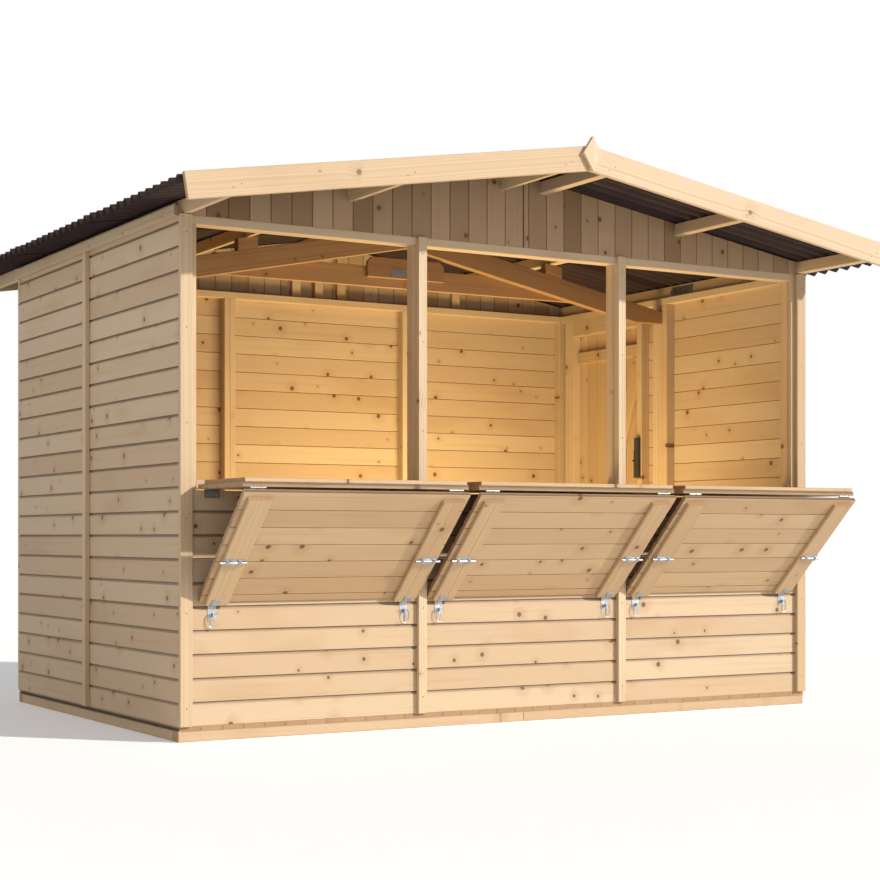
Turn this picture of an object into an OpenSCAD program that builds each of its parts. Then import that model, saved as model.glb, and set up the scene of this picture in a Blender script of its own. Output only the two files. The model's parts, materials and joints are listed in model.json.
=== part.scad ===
// Wooden market stall: timber frame hut with three fold-down serving hatches,
// a ledged side door, vertical-board gables and a low-pitched corrugated roof.
// Frame: +X right, -Y towards the serving front, +Z up; origin on the ground,
// below the middle of the building.

/* [Building] */
// Width over the side walls
wall_w = 3200; // [2400:10:4000]
// Depth from front wall face to back wall face
wall_d = 2000; // [1600:10:2600]
// Height from the ground to the top of the walls
wall_h = 2050; // [1700:10:2500]
// Where the two modules of each side wall meet, behind the middle of the depth
module_y = 25; // [-100:5:100]

/* [Base and floor] */
// Height of the beams under the floor
base_h = 40; // [30:1:80]
// Width of the beams and joists
beam_w = 60; // [40:1:100]
// Number of joists between the front and the back beam
joist_count = 5; // [3:1:8]
// Thickness of the floor boards
floor_t = 20; // [15:1:30]
// Gap that shows where two lengths of timber meet
butt_gap = 0.6; // [0.4:0.1:2]

/* [Walls] */
// Thickness of the wall boards
board_t = 18; // [12:1:28]
// Depth of the studs and rails behind the boards
stud_d = 50; // [40:1:80]
// Width of a stud
stud_w = 60; // [40:1:80]
// Height of the bottom and top rails
rail_h = 34; // [25:1:60]
// Width of the corner posts
post_w = 64; // [50:1:90]
// Distance of the back wall's joint studs from the middle
back_joint_x = 522; // [400:1:700]
// Width of the cover strips over the joints
strip_w = 40; // [30:1:60]
// Thickness of the cover strips and corner trims
strip_t = 20; // [10:1:30]
// Width of the corner trims
trim_w = 52; // [40:1:80]
// Height of the strip that covers the top of each side wall
eave_strip_h = 45; // [30:1:60]
// How far that strip reaches below the top of the wall
eave_strip_drop = 10; // [5:1:30]

/* [Serving openings] */
// Width of the wall face beside the outer openings
jamb_w = 75; // [60:1:120]
// Width of a mullion behind its cover strip
mullion_w = 54; // [46:1:70]
// Height of the clear opening
opening_h = 995; // [800:5:1200]
// Height of the sill rail
sill_h = 36; // [25:1:60]

/* [Hatches] */
// Thickness of the hatch boards
leaf_t = 18; // [12:1:28]
// Thickness of the counter top on the boards
top_t = 16; // [12:1:25]
// Length of the counter leaf, from hinge edge to outer edge
counter_l = 420; // [350:5:450]
// Gap along the edges of a closed leaf
leaf_gap = 5; // [4:0.5:10]
// Height of a hinge axis off the leaf's outer face
axis_off = 3; // [2.5:0.5:6]
// Width of the battens on the prop leaf
batten_w = 95; // [60:1:120]
// Thickness of the battens
batten_t = 18; // [12:1:25]
// Distance of a batten's upper end from the leaf's hinged edge
batten_start = 28; // [10:1:60]
// Distance of a batten's middle from the leaf's end
batten_in = 70; // [60:1:150]
// Gap between the foot of the prop leaf and the wall
foot_gap = 0.3; // [0.2:0.1:2]
// Gap left between a closed leaf or door and its stops
close_gap = 0.5; // [0.2:0.1:2]

/* [Hatch ironwork] */
// Distance of the hinges and hasps from the end of a hatch
iron_in = 60; // [50:1:150]
// Width of a hatch hinge
hinge_w = 64; // [50:1:90]
// Height of a hinge plate
hinge_h = 28; // [20:1:40]
// Thickness of a hinge plate
plate_t = 2; // [1.5:0.5:4]
// Radius of a hinge knuckle
knuckle_r = 3.3; // [3:0.1:4]
// Radius of a hinge pin
pin_r = 1.8; // [1:0.1:3]
// Running clearance around a pin and between knuckles
run_gap = 0.4; // [0.2:0.1:1]
// Length of a hasp plate on the wall below the foot of the prop leaf
hasp_l = 84; // [60:1:120]
// Width of a hasp plate
hasp_w = 36; // [25:1:50]
// Gap between the foot of the prop leaf and the lip of its hasp
lip_gap = 1; // [0.8:0.1:2]
// How far a staple stands out from the wall
staple_d = 18; // [12:1:25]
// Height of a staple
staple_h = 14; // [10:1:20]
// Length of a barrel bolt
bolt_l = 112; // [60:1:140]
// Distance of a barrel bolt from the foot of the prop leaf
bolt_up = 245; // [100:5:300]
// Radius of a barrel bolt's rod
bolt_r = 5; // [4:0.5:8]

/* [Door] */
// Gap between the rear corner post and the jamb stud on the hinge side
door_in = 36; // [10:1:100]
// Clear width of the doorway
door_w = 591; // [500:1:640]
// Width of the jamb stud on the latch side
latch_jamb_w = 44; // [35:1:60]
// Width of the jamb stud on the hinge side
hinge_jamb_w = 79; // [50:1:90]
// Height from the top of the doorway to the top of the wall
over_door_h = 125; // [100:5:200]
// Thickness of the door boards
door_t = 18; // [12:1:28]
// How far the door boards lap over the jambs and the head
door_lap = 20; // [10:1:30]
// Thickness of the ledges and the brace
ledge_t = 22; // [15:1:30]
// Gap between the ends of the ledges and the jambs
ledge_gap = 8; // [7:0.5:12]
// Height of a ledge
ledge_h = 67; // [50:1:120]
// Distance from the top or bottom of the door to the middle of a ledge
ledge_in = 135; // [100:5:250]
// Length of a hinge strap on the door
strap_l = 300; // [200:10:450]
// Height of a hinge strap
strap_h = 40; // [30:1:60]
// Thickness of the straps and plates
strap_t = 3; // [2:0.5:5]
// Radius of the door hinge knuckles
door_knuckle_r = 6; // [5:0.5:9]
// Distance of the door's hinge axis from the wall's face
door_axis_off = 7; // [6:0.5:10]
// Radius of the door hinge pins
door_pin_r = 3; // [2:0.5:5]
// Height of the top of the lock case
lock_z = 1262; // [900:1:1400]
// Height of the lock case
lock_h = 147; // [100:1:180]
// Width of the lock case
lock_w = 50; // [40:1:80]
// Thickness of the lock case
lock_t = 30; // [20:1:40]
// Width of the keep on the jamb
keep_w = 36; // [25:1:42]
// Thickness of the keep
keep_t = 17; // [12:1:25]
// How far the keep rises above the lock case
keep_rise = 65; // [20:1:90]

/* [Roof] */
// Fall of the roof for each metre across
roof_fall = 162; // [120:1:250]
// How far the roof passes the side walls
eave_reach = 184; // [120:1:300]
// How far the barge boards stand in front of and behind the walls
gable_reach = 500; // [300:10:700]
// Number of waves from front to back
wave_count = 39; // [30:1:50]
// Height of a wave
wave_h = 33; // [20:1:45]
// Thickness of the corrugated sheets
sheet_t = 4; // [2:0.5:6]
// Length of each side of the ridge cap
cap_l = 150; // [100:5:250]
// Width of the purlins
purlin_w = 32; // [25:1:50]
// Height of the purlins
purlin_h = 55; // [45:1:80]
// Distance of the eave purlins from the outer wall faces
eave_purlin_in = 25; // [20:1:60]
// Distance of the middle purlins from the ridge
middle_purlin_x = 845; // [700:5:1000]
// Distance of the ridge purlins from the ridge
ridge_purlin_x = 108; // [90:1:150]
// Gap left between the purlins and the sheets and blocks that they touch
rest_gap = 0.1; // [0.05:0.05:0.5]
// Height of the barge boards
barge_h = 103; // [80:1:150]
// Thickness of the barge boards
barge_t = 20; // [12:1:30]
// How far the barge boards rise above the underside of the sheets
barge_rise = 36; // [20:1:60]
// Half the width of the diamond finial
finial_r = 48; // [30:1:80]
// Half the height of the diamond finial
finial_h = 72; // [50:1:120]
// Thickness of the finial
finial_t = 18; // [10:1:30]

/* [Gables] */
// Gap between the gable boards and the sheets, and around the purlins
gable_gap = 1; // [0.5:0.5:5]
// Gap between the two halves of a gable
gable_joint = 3; // [1:1:8]
// Width of the cleats behind the gable boards
cleat_w = 48; // [30:1:60]
// Thickness of those cleats
cleat_t = 25; // [18:1:40]

/* [Roof truss] */
// Fall of the truss rafters for each metre across
truss_fall = 200; // [120:1:260]
// Distance from the ridge down to the top of the truss
truss_drop = 79; // [70:1:150]
// Height of the rafters, measured upright
rafter_h = 98; // [70:1:130]
// Thickness of the rafters
rafter_t = 45; // [30:1:60]
// Height of a rafter's end at the wall
foot_h = 62; // [40:1:90]
// Height of the tie boards
tie_h = 98; // [70:1:120]
// Half the length of the tie
tie_reach = 1000; // [800:10:1100]
// Height of the underside of the tie below the top of the walls
tie_drop = 55; // [40:1:90]
// Thickness of the tie boards
tie_t = 22; // [18:1:30]
// Half the length of the board that splices the tie
splice_reach = 212; // [150:1:300]
// Height of that board above the underside of the tie
splice_up = 43; // [20:1:60]
// Length of a packing block under a middle purlin
packer_l = 100; // [60:5:140]
// Length of a packing block under a ridge purlin
ridge_packer_l = 60; // [40:5:80]
// Length of the perforated plate on each eave purlin
nail_plate_l = 182; // [120:1:250]
// Height of that plate
nail_plate_h = 40; // [30:1:50]

/* [Hidden] */

// Colours
pine = "#E3C08C";
pine_shade = "#C79C63";
truss_brown = "#9A6136";
sheet_brown = "#3B1E1F";
zinc = "#AEB2B2";
black_iron = "#2B2B2B";

// Levels
floor_z = base_h + floor_t;
header_z = wall_h - rail_h;
sill_z = header_z - opening_h;
frame_z = wall_h - floor_z;

// Faces of the wall layers, measured from the middle
half_w = wall_w / 2;
half_d = wall_d / 2;
stud_x = half_w - board_t;
stud_y = half_d - board_t;
inner_x = stud_x - stud_d;
inner_y = stud_y - stud_d;
post_x = stud_x - post_w;

// Hatches: bays between the cover strips, hinge axes and the prop's slope
bay_w = (wall_w - 2 * jamb_w - 2 * strip_w) / 3;
mullion_x = (bay_w + strip_w) / 2;
leaf_w = bay_w - 2 * leaf_gap;
iron_x = leaf_w / 2 - iron_in;
side_bay_x = mullion_x + strip_w / 2 + leaf_gap + leaf_w / 2;
bay_x = [-side_bay_x, 0, side_bay_x];
leaf_in_w = 2 * mullion_x - mullion_w - 2 * (leaf_gap + 2);
axis_y = -half_d - axis_off - close_gap;
axis_z = sill_z - sill_h - axis_off - 1;
cladding_top = axis_z + axis_off - leaf_gap;
outer_axis = axis_off + counter_l + leaf_gap / 2;
prop_l = header_z - axis_z - outer_axis - 1.5 * leaf_gap;
prop_s = prop_l + leaf_gap / 2;
prop_run = outer_axis + axis_off + close_gap - foot_gap;
prop_a = acos(prop_run / norm([prop_s, axis_off])) - atan(axis_off / prop_s);
prop_y = axis_y - outer_axis;
foot_end_z = axis_z - prop_s * sin(prop_a) - axis_off * cos(prop_a);
lip_drop = (plate_t + lip_gap) / tan(prop_a);
counter_top_in = sill_z + leaf_gap - axis_z;

// Door: leaf, hinge axis
door_y1 = inner_y - door_in - hinge_jamb_w;
door_y0 = door_y1 - door_w;
leaf_y0 = door_y0 - door_lap;
leaf_y1 = door_y1 + door_lap;
doorway_z = wall_h - over_door_h;
door_z0 = floor_z + leaf_gap;
door_z1 = doorway_z + door_lap * 0.65;
door_x = stud_x + close_gap;
door_face = door_x + door_t;
door_axis_x = half_w + door_axis_off;
door_axis_y = leaf_y1 + leaf_gap / 2;
ledge_z = [door_z0 + ledge_in, door_z1 - ledge_in];

// Roof: pitch, underside of the sheets along the width
pitch = atan(roof_fall / 1000);
eave_purlin_x = half_w - eave_purlin_in;
eave_under = wall_h + purlin_w / 2 * sin(pitch) + purlin_h * cos(pitch);
ridge_z = eave_under + eave_purlin_x * tan(pitch);
eave_x = half_w + eave_reach;
barge_y = half_d + gable_reach;
roof_y = barge_y - barge_t;
wave_l = 2 * roof_y / wave_count;
wave_steps = 8;
sheet_in = wave_h * tan(pitch) + 2;
sheet_l = eave_x / cos(pitch) - sheet_in;
function under(x) = ridge_z - abs(x) * tan(pitch);

// Truss
truss_y0 = module_y - rafter_t / 2;
truss_y1 = module_y + rafter_t / 2;
truss_top = ridge_z - truss_drop;
truss_slope = truss_fall / 1000;
function rafter_top(x) = truss_top - x * truss_slope;
foot_z = rafter_top(inner_x) - foot_h;
ridge_cut = butt_gap / 2;
foot_x = (truss_top - rafter_h - foot_z) / truss_slope;
tie_z = wall_h - tie_drop;

// ---------------------------------------------------------------- helpers

// A box given by its low and high corners
module span(low, high) {
    translate(low) cube(high - low);
}

// A copy on each side of the middle
module both_sides() {
    children();
    mirror([1, 0, 0]) children();
}

// A copy at the front and one at the back
module both_ends() {
    children();
    mirror([0, 1, 0]) children();
}

// An outline in X and Z, extruded from y0 to y1
module upright(y0, y1) {
    translate([0, y1, 0]) rotate([90, 0, 0]) linear_extrude(y1 - y0) children();
}

// An outline in Y and Z, extruded from x0 to x1
module crosswise(x0, x1) {
    translate([x0, 0, 0]) rotate([90, 0, 90]) linear_extrude(x1 - x0) children();
}

// Moves to a hatch leaf's frame: X along the hinge, Y away from it along the
// leaf, Z from the leaf's outer face towards its inner face
module counter_frame() {
    translate([0, axis_y, axis_z]) rotate([180, 0, 0]) mirror([0, 0, 1]) children();
}

module prop_frame() {
    translate([0, prop_y, axis_z]) rotate([-prop_a, 0, 0]) mirror([0, 0, 1]) children();
}

// ---------------------------------------------------------------- base and floor

module base_beams() {
    color(pine_shade) both_sides() {
        both_ends() span([butt_gap / 2, -half_d, 0], [half_w, beam_w - half_d, base_h]);
        span([half_w - beam_w, beam_w - half_d + butt_gap, 0],
            [half_w, half_d - beam_w - butt_gap, base_h]);
    }
}

module base_joists() {
    joist_pitch = (wall_d - beam_w) / (joist_count + 1);
    color(pine_shade) both_sides() for (i = [1 : joist_count]) {
        y0 = i * joist_pitch - half_d;
        span([butt_gap / 2, y0, 0], [half_w - beam_w, y0 + beam_w, base_h]);
    }
}

module floor_boards() {
    color(pine) span([-half_w, -half_d, base_h], [half_w, half_d, floor_z]);
}

// ---------------------------------------------------------------- walls

module front_cladding() {
    color(pine) span([-stud_x, -half_d, floor_z], [stud_x, -stud_y, cladding_top]);
}

module left_cladding() {
    color(pine) span([-half_w, -half_d, floor_z], [-stud_x, half_d, wall_h]);
}

module back_cladding() {
    color(pine) span([-stud_x, stud_y, floor_z], [stud_x, half_d, wall_h]);
}

module right_cladding(y0, y1, z0) {
    color(pine) span([stud_x, y0, z0], [half_w, y1, wall_h]);
}

module right_cladding_front() {
    right_cladding(-half_d, leaf_y0 - leaf_gap, floor_z);
}

module right_cladding_rear() {
    right_cladding(leaf_y1 + leaf_gap, half_d, floor_z);
}

module right_cladding_over_door() {
    right_cladding(leaf_y0 - leaf_gap, leaf_y1 + leaf_gap, door_z1 + leaf_gap);
}

// The front posts are thicker beside the openings, where they fill the board layer
module corner_posts() {
    color(pine) both_sides() {
        both_ends() span([post_x, -stud_y, floor_z], [stud_x, -inner_y, wall_h]);
        span([half_w - jamb_w, -half_d, cladding_top], [stud_x, -stud_y, header_z]);
    }
}

module mullions() {
    color(pine) both_sides() {
        span([mullion_x - mullion_w / 2, -stud_y, floor_z + rail_h],
            [mullion_x + mullion_w / 2, -inner_y, header_z]);
        span([mullion_x - strip_w / 2, -half_d, cladding_top],
            [mullion_x + strip_w / 2, -stud_y, header_z]);
    }
}

// A pair of studs, where two wall modules meet at a line across the wall
module side_stud(y0, y1) {
    span([inner_x, y0, floor_z + rail_h], [stud_x, y1, header_z]);
}

module wall_studs() {
    stud_z0 = floor_z + rail_h;
    color(pine) {
        both_sides() {
            side_stud(module_y - stud_w, module_y - butt_gap / 2);
            side_stud(module_y + butt_gap / 2, module_y + stud_w);
            span([back_joint_x - stud_w / 2, inner_y, stud_z0],
                [back_joint_x - butt_gap / 2, stud_y, header_z]);
            span([back_joint_x + butt_gap / 2, inner_y, stud_z0],
                [back_joint_x + stud_w / 2, stud_y, header_z]);
        }
        side_stud(door_y0 - latch_jamb_w, door_y0);
        side_stud(door_y1, door_y1 + hinge_jamb_w);
    }
}

module bottom_rails() {
    z1 = floor_z + rail_h;
    color(pine) {
        both_ends() span([-post_x, -stud_y, floor_z], [post_x, -inner_y, z1]);
        span([-stud_x, -inner_y, floor_z], [-inner_x, inner_y, z1]);
        span([inner_x, -inner_y, floor_z], [stud_x, door_y0, z1]);
        span([inner_x, door_y1, floor_z], [stud_x, inner_y, z1]);
    }
}

// The front rail is the header: it also fills the board layer over the openings
module top_rails() {
    color(pine) {
        span([-stud_x, -half_d, header_z], [stud_x, -stud_y, wall_h]);
        both_ends() span([-post_x, -stud_y, header_z], [post_x, -inner_y, wall_h]);
        both_sides() span([inner_x, -inner_y, header_z], [stud_x, inner_y, wall_h]);
    }
}

module sill_rail() {
    bay_edge = mullion_x - mullion_w / 2;
    color(pine) {
        span([-bay_edge, -stud_y, sill_z - sill_h], [bay_edge, -inner_y, sill_z]);
        both_sides() span([mullion_x + mullion_w / 2, -stud_y, sill_z - sill_h],
            [post_x, -inner_y, sill_z]);
    }
}

module door_head() {
    color(pine) span([inner_x, door_y0, doorway_z], [stud_x, door_y1, header_z]);
}

// ---------------------------------------------------------------- trims and strips

module corner_trims() {
    color(pine) both_sides() both_ends()
        span([half_w - trim_w, -half_d - strip_t, floor_z], [half_w, -half_d, wall_h]);
}

module cover_strips() {
    strip_z1 = wall_h - eave_strip_drop;
    color(pine) {
        both_sides() {
            span([mullion_x - strip_w / 2, -half_d - strip_t, floor_z],
                [mullion_x + strip_w / 2, -half_d, wall_h]);
            span([half_w, module_y - strip_w / 2, floor_z],
                [half_w + strip_t, module_y + strip_w / 2, strip_z1]);
            span([back_joint_x - strip_w / 2, half_d, floor_z],
                [back_joint_x + strip_w / 2, half_d + strip_t, wall_h]);
        }
    }
}

module eave_strips() {
    strip_z0 = wall_h - eave_strip_drop;
    color(pine) both_sides()
        span([half_w, -half_d, strip_z0], [half_w + strip_t, half_d, strip_z0 + eave_strip_h]);
}

// ---------------------------------------------------------------- gables

module purlin_outline(x, grow) {
    translate([x, under(x)]) rotate(-pitch)
        translate([-purlin_w / 2 - grow, -purlin_h - grow])
            square([purlin_w + 2 * grow, purlin_h - rest_gap + 2 * grow]);
}

module gable_half_outline() {
    difference() {
        polygon([[gable_joint / 2, wall_h], [half_w, wall_h], [half_w, under(half_w) - gable_gap],
            [gable_joint / 2, ridge_z - gable_gap]]);
        for (x = [ridge_purlin_x, middle_purlin_x, eave_purlin_x]) purlin_outline(x, gable_gap);
    }
}

module gable_front() {
    color(pine) both_sides() upright(-half_d, -stud_y) gable_half_outline();
}

module gable_back() {
    color(pine) both_sides() upright(stud_y, half_d) gable_half_outline();
}

// A cleat stands under each upper purlin, and one covers the joint in the middle
module gable_cleats() {
    joint_top = under(ridge_purlin_x) - purlin_h / cos(pitch) - gable_gap;
    color(pine) both_ends() {
        both_sides() for (x = [ridge_purlin_x + cleat_w / 2, middle_purlin_x])
            span([x - cleat_w / 2, stud_y - cleat_t, wall_h],
                [x + cleat_w / 2, stud_y, under(x + cleat_w / 2) - purlin_h / cos(pitch) - gable_gap]);
        span([-cleat_w / 2, stud_y - cleat_t, wall_h], [cleat_w / 2, stud_y, joint_top]);
    }
}

// ---------------------------------------------------------------- roof

module purlins() {
    color(pine) both_sides() upright(-roof_y, roof_y)
        for (x = [ridge_purlin_x, middle_purlin_x, eave_purlin_x]) purlin_outline(x, 0);
}

// Perforated plates on the inner faces of the eave purlins
module purlin_plates() {
    plate_y1 = module_y - stud_w - 8;
    color(zinc) both_sides() upright(plate_y1 - nail_plate_l, plate_y1)
        translate([eave_purlin_x, eave_under]) rotate(-pitch)
            translate([-purlin_w / 2 - plate_t, -purlin_h + 4]) square([plate_t, nail_plate_h]);
}

// Height of the lower face of a sheet, at a step along the waves
function wave(i) = (cos(180 / wave_steps) - cos(360 * (i + 0.5) / wave_steps)) * (wave_h - sheet_t)
    / (2 * cos(180 / wave_steps));

module sheet_outline() {
    count = wave_count * wave_steps;
    step = wave_l / wave_steps;
    lower = [for (i = [0 : count]) [i * step - roof_y, wave(i)]];
    upper = [for (i = [count : -1 : 0]) [i * step - roof_y, wave(i) + sheet_t]];
    polygon(concat(lower, upper));
}

module roof_sheet() {
    color(sheet_brown) translate([0, 0, ridge_z]) rotate([0, pitch, 0])
        crosswise(sheet_in, sheet_in + sheet_l) sheet_outline();
}

module roof_sheet_left() {
    mirror([1, 0, 0]) roof_sheet();
}

module roof_sheet_right() {
    roof_sheet();
}

module ridge_cap() {
    cap_x = cap_l * cos(pitch);
    rise = (wave_h + 0.3) / cos(pitch);
    color(sheet_brown) upright(-roof_y, roof_y)
        polygon([[-cap_x, under(cap_x) + rise], [0, ridge_z + rise], [cap_x, under(cap_x) + rise],
            [cap_x, under(cap_x) + rise + sheet_t], [0, ridge_z + rise + sheet_t],
            [-cap_x, under(cap_x) + rise + sheet_t]]);
}

module barge_outline() {
    drop = barge_h - barge_rise;
    polygon([[butt_gap / 2, ridge_z + barge_rise], [eave_x, under(eave_x) + barge_rise],
        [eave_x - barge_h * sin(pitch), under(eave_x - barge_h * sin(pitch)) - drop],
        [butt_gap / 2, ridge_z - drop]]);
}

module barge_boards() {
    color(pine) both_ends() both_sides() upright(roof_y, barge_y) barge_outline();
}

module finials() {
    color(pine) both_ends() upright(barge_y, barge_y + finial_t) translate([0, ridge_z])
        polygon([[0, -finial_h], [finial_r, 0], [0, finial_h], [-finial_r, 0]]);
}

// ---------------------------------------------------------------- truss

module truss_rafters() {
    color(truss_brown) both_sides() upright(truss_y0, truss_y1)
        polygon([[ridge_cut, rafter_top(ridge_cut)], [inner_x, rafter_top(inner_x)],
            [inner_x, foot_z], [foot_x, foot_z], [ridge_cut, rafter_top(ridge_cut) - rafter_h]]);
}

module truss_tie() {
    color(truss_brown) both_sides()
        span([butt_gap / 2, truss_y1, tie_z], [tie_reach, truss_y1 + tie_t, tie_z + tie_h]);
}

module tie_splice() {
    cut = tie_h / 4;
    z0 = tie_z + splice_up;
    color(truss_brown) upright(truss_y1 - tie_t, truss_y1)
        polygon([[-splice_reach, z0], [splice_reach, z0], [splice_reach, z0 + tie_h - cut],
            [splice_reach - cut, z0 + tie_h], [cut - splice_reach, z0 + tie_h],
            [-splice_reach, z0 + tie_h - cut]]);
}

// A block between the rafter and the underside of a purlin
module packer(x, l) {
    low_x = x - l / 2;
    high_x = x + l / 2;
    seat = purlin_h / cos(pitch) + rest_gap;
    upright(truss_y0, truss_y1)
        polygon([[low_x, rafter_top(low_x)], [high_x, rafter_top(high_x)],
            [high_x, under(high_x) - seat], [low_x, under(low_x) - seat]]);
}

module truss_packers() {
    color(truss_brown) both_sides() {
        packer(middle_purlin_x, packer_l);
        packer(ridge_purlin_x, ridge_packer_l);
    }
}

// ---------------------------------------------------------------- hinges

// Three knuckles along X about the origin: the middle one holds the pin
module pin_knuckle(w, r, pin) {
    third = w / 3;
    rotate([0, 90, 0]) cylinder(h = third - 2 * run_gap, r = r, center = true, $fn = 32);
    rotate([0, 90, 0]) cylinder(h = w, r = pin, center = true, $fn = 32);
}

module bored_knuckles(w, r, pin) {
    third = w / 3;
    for (side = [-1, 1]) translate([side * third, 0, 0]) rotate([0, 90, 0]) difference() {
        cylinder(h = third, r = r, center = true, $fn = 32);
        cylinder(h = w, r = pin + run_gap, center = true, $fn = 32);
    }
}

// Flat plate of a hatch hinge with the knuckles' own part of its edge
module hinge_plate(w, h, inset, middle) {
    third = w / 3;
    translate([-w / 2, inset, 0]) cube([w, h, plate_t]);
    if (middle) translate([run_gap - third / 2, 0, 0])
        cube([third - 2 * run_gap, inset + 1, plate_t]);
    else for (x = [-w / 2, w / 2 - third]) translate([x, pin_r + run_gap, 0])
        cube([third, inset, plate_t]);
}

module iron_pairs() {
    for (x = [-iron_x, iron_x]) translate([x, 0, 0]) children();
}

// ---------------------------------------------------------------- hatches

// Boards below, and the counter top that fits inside the opening when closed
module counter(i) {
    color(pine) translate([bay_x[i], 0, 0]) counter_frame() {
        translate([-leaf_w / 2, axis_off, axis_off]) cube([leaf_w, counter_l, leaf_t]);
        translate([-leaf_in_w / 2, counter_top_in, axis_off + leaf_t])
            cube([leaf_in_w, axis_off + counter_l - counter_top_in, top_t]);
    }
}

module prop(i) {
    batten_x = leaf_w / 2 - batten_in;
    color(pine) translate([bay_x[i], 0, 0]) prop_frame() {
        translate([-leaf_w / 2, leaf_gap / 2, axis_off]) cube([leaf_w, prop_l, leaf_t]);
        for (x = [-batten_x, batten_x])
            translate([x - batten_w / 2, leaf_gap / 2 + batten_start, axis_off + leaf_t])
                cube([batten_w, prop_l - batten_start, batten_t]);
    }
}

// The counter's halves of the sill hinges and of the hinges to the prop leaf
module counter_hinges(i) {
    color(zinc) translate([bay_x[i], 0, 0]) iron_pairs() {
        counter_frame() {
            bored_knuckles(hinge_w, knuckle_r, pin_r);
            translate([0, 0, axis_off - plate_t]) hinge_plate(hinge_w, hinge_h, knuckle_r + 1, false);
            translate([0, outer_axis, 0]) pin_knuckle(hinge_w, knuckle_r, pin_r);
            translate([0, outer_axis, axis_off - plate_t]) mirror([0, 1, 0])
                hinge_plate(hinge_w, hinge_h, knuckle_r + 1, true);
        }
    }
}

module prop_ironwork(i) {
    color(zinc) translate([bay_x[i], 0, 0]) iron_pairs() {
        prop_frame() {
            bored_knuckles(hinge_w, knuckle_r, pin_r);
            translate([0, 0, axis_off - plate_t]) hinge_plate(hinge_w, hinge_h, knuckle_r + 1, false);
            translate([0, prop_s - bolt_up, axis_off + leaf_t + batten_t]) barrel_bolt();
        }
    }
}

module barrel_bolt() {
    plate_l = bolt_l * 0.7;
    translate([-plate_l / 2, -16, 0]) cube([plate_l, 32, plate_t]);
    translate([0, 0, plate_t + bolt_r - 1]) rotate([0, 90, 0])
        cylinder(h = bolt_l, r = bolt_r, center = true, $fn = 32);
    for (x = [-plate_l / 3, plate_l / 3]) translate([x - 5, -bolt_r - 3, 0])
        cube([10, 2 * bolt_r + 6, 2 * bolt_r + plate_t + 1]);
}

// ---------------------------------------------------------------- fixed ironwork

// Plate on the wall below the foot of a prop leaf, with a lip under the foot and a staple
module foot_hasp() {
    crosswise(-hasp_w / 2, hasp_w / 2) {
        intersection() {
            translate([prop_y, axis_z]) rotate(-prop_a)
                translate([prop_s + lip_gap, -axis_off - leaf_t]) square([plate_t, leaf_t]);
            translate([-half_d - leaf_t, 0]) square([leaf_t, wall_h]);
        }
        translate([-half_d - plate_t, foot_end_z - hasp_l]) square([plate_t, hasp_l - lip_drop]);
    }
    span([-2, -half_d - staple_d, foot_end_z - hasp_l + staple_h],
        [2, -half_d, foot_end_z - hasp_l + 2 * staple_h]);
}

module foot_hasps() {
    color(zinc) for (x = bay_x) translate([x, 0, 0]) iron_pairs() foot_hasp();
}

module sill_hinge_plate() {
    translate([0, axis_y, axis_z]) pin_knuckle(hinge_w, knuckle_r, pin_r);
    translate([0, -half_d, axis_z]) rotate([-90, 0, 0]) mirror([0, 0, 1])
        hinge_plate(hinge_w, hinge_h, knuckle_r + 1, true);
}

module door_hinge_plate() {
    translate([door_axis_x, door_axis_y, 0]) rotate([0, 90, 0])
        pin_knuckle(strap_h, door_knuckle_r, door_pin_r);
    plate_y = door_axis_y + door_knuckle_r + run_gap;
    tab_z = strap_h / 6 - run_gap;
    span([half_w, door_axis_y, -tab_z], [half_w + strap_t, plate_y + strap_h, tab_z]);
    span([half_w, plate_y, -strap_h / 2], [half_w + strap_t, plate_y + strap_h, strap_h / 2]);
}

module hinge_plates() {
    color(zinc) for (x = bay_x) translate([x, 0, 0]) iron_pairs() sill_hinge_plate();
    color(black_iron) for (z = ledge_z) translate([0, 0, z]) door_hinge_plate();
}

// ---------------------------------------------------------------- door

module door_leaf() {
    color(pine) span([door_x, leaf_y0, door_z0], [door_face, leaf_y1, door_z1]);
}

// Two ledges and the brace that rises from the hinge side to the latch side
module door_ledges() {
    y0 = door_y0 + ledge_gap;
    y1 = door_y1 - ledge_gap;
    low = ledge_z[0] + ledge_h / 2 + butt_gap;
    high = ledge_z[1] - ledge_h / 2 - butt_gap;
    color(pine) crosswise(door_x - ledge_t, door_x) {
        for (z = ledge_z) translate([y0, z - ledge_h / 2]) square([y1 - y0, ledge_h]);
        polygon([[y1, low], [y0 + ledge_h, high], [y0, high], [y0, high - ledge_h],
            [y1 - ledge_h, low]]);
    }
}

module door_hinge_straps() {
    color(black_iron) for (z = ledge_z) translate([0, 0, z]) {
        translate([door_axis_x, door_axis_y, 0]) rotate([0, 90, 0])
            bored_knuckles(strap_h, door_knuckle_r, door_pin_r);
        span([door_face, leaf_y1 - strap_l, -strap_h / 2],
            [door_face + strap_t, leaf_y1 - door_knuckle_r, strap_h / 2]);
        for (s = [-1, 1]) translate([0, 0, s * strap_h / 3])
            span([door_face, leaf_y1 - door_knuckle_r - 1, -strap_h / 6],
                [door_face + strap_t, door_axis_y - door_pin_r - run_gap, strap_h / 6]);
    }
}

module door_lock() {
    color(black_iron) span([door_x - lock_t, door_y0 + ledge_gap, lock_z - lock_h],
        [door_x, door_y0 + ledge_gap + lock_w, lock_z]);
}

module door_keep() {
    color(black_iron) span([inner_x - keep_t, door_y0 - keep_w, lock_z - lock_h],
        [inner_x, door_y0, lock_z + keep_rise]);
}

// ---------------------------------------------------------------- nodes

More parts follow.
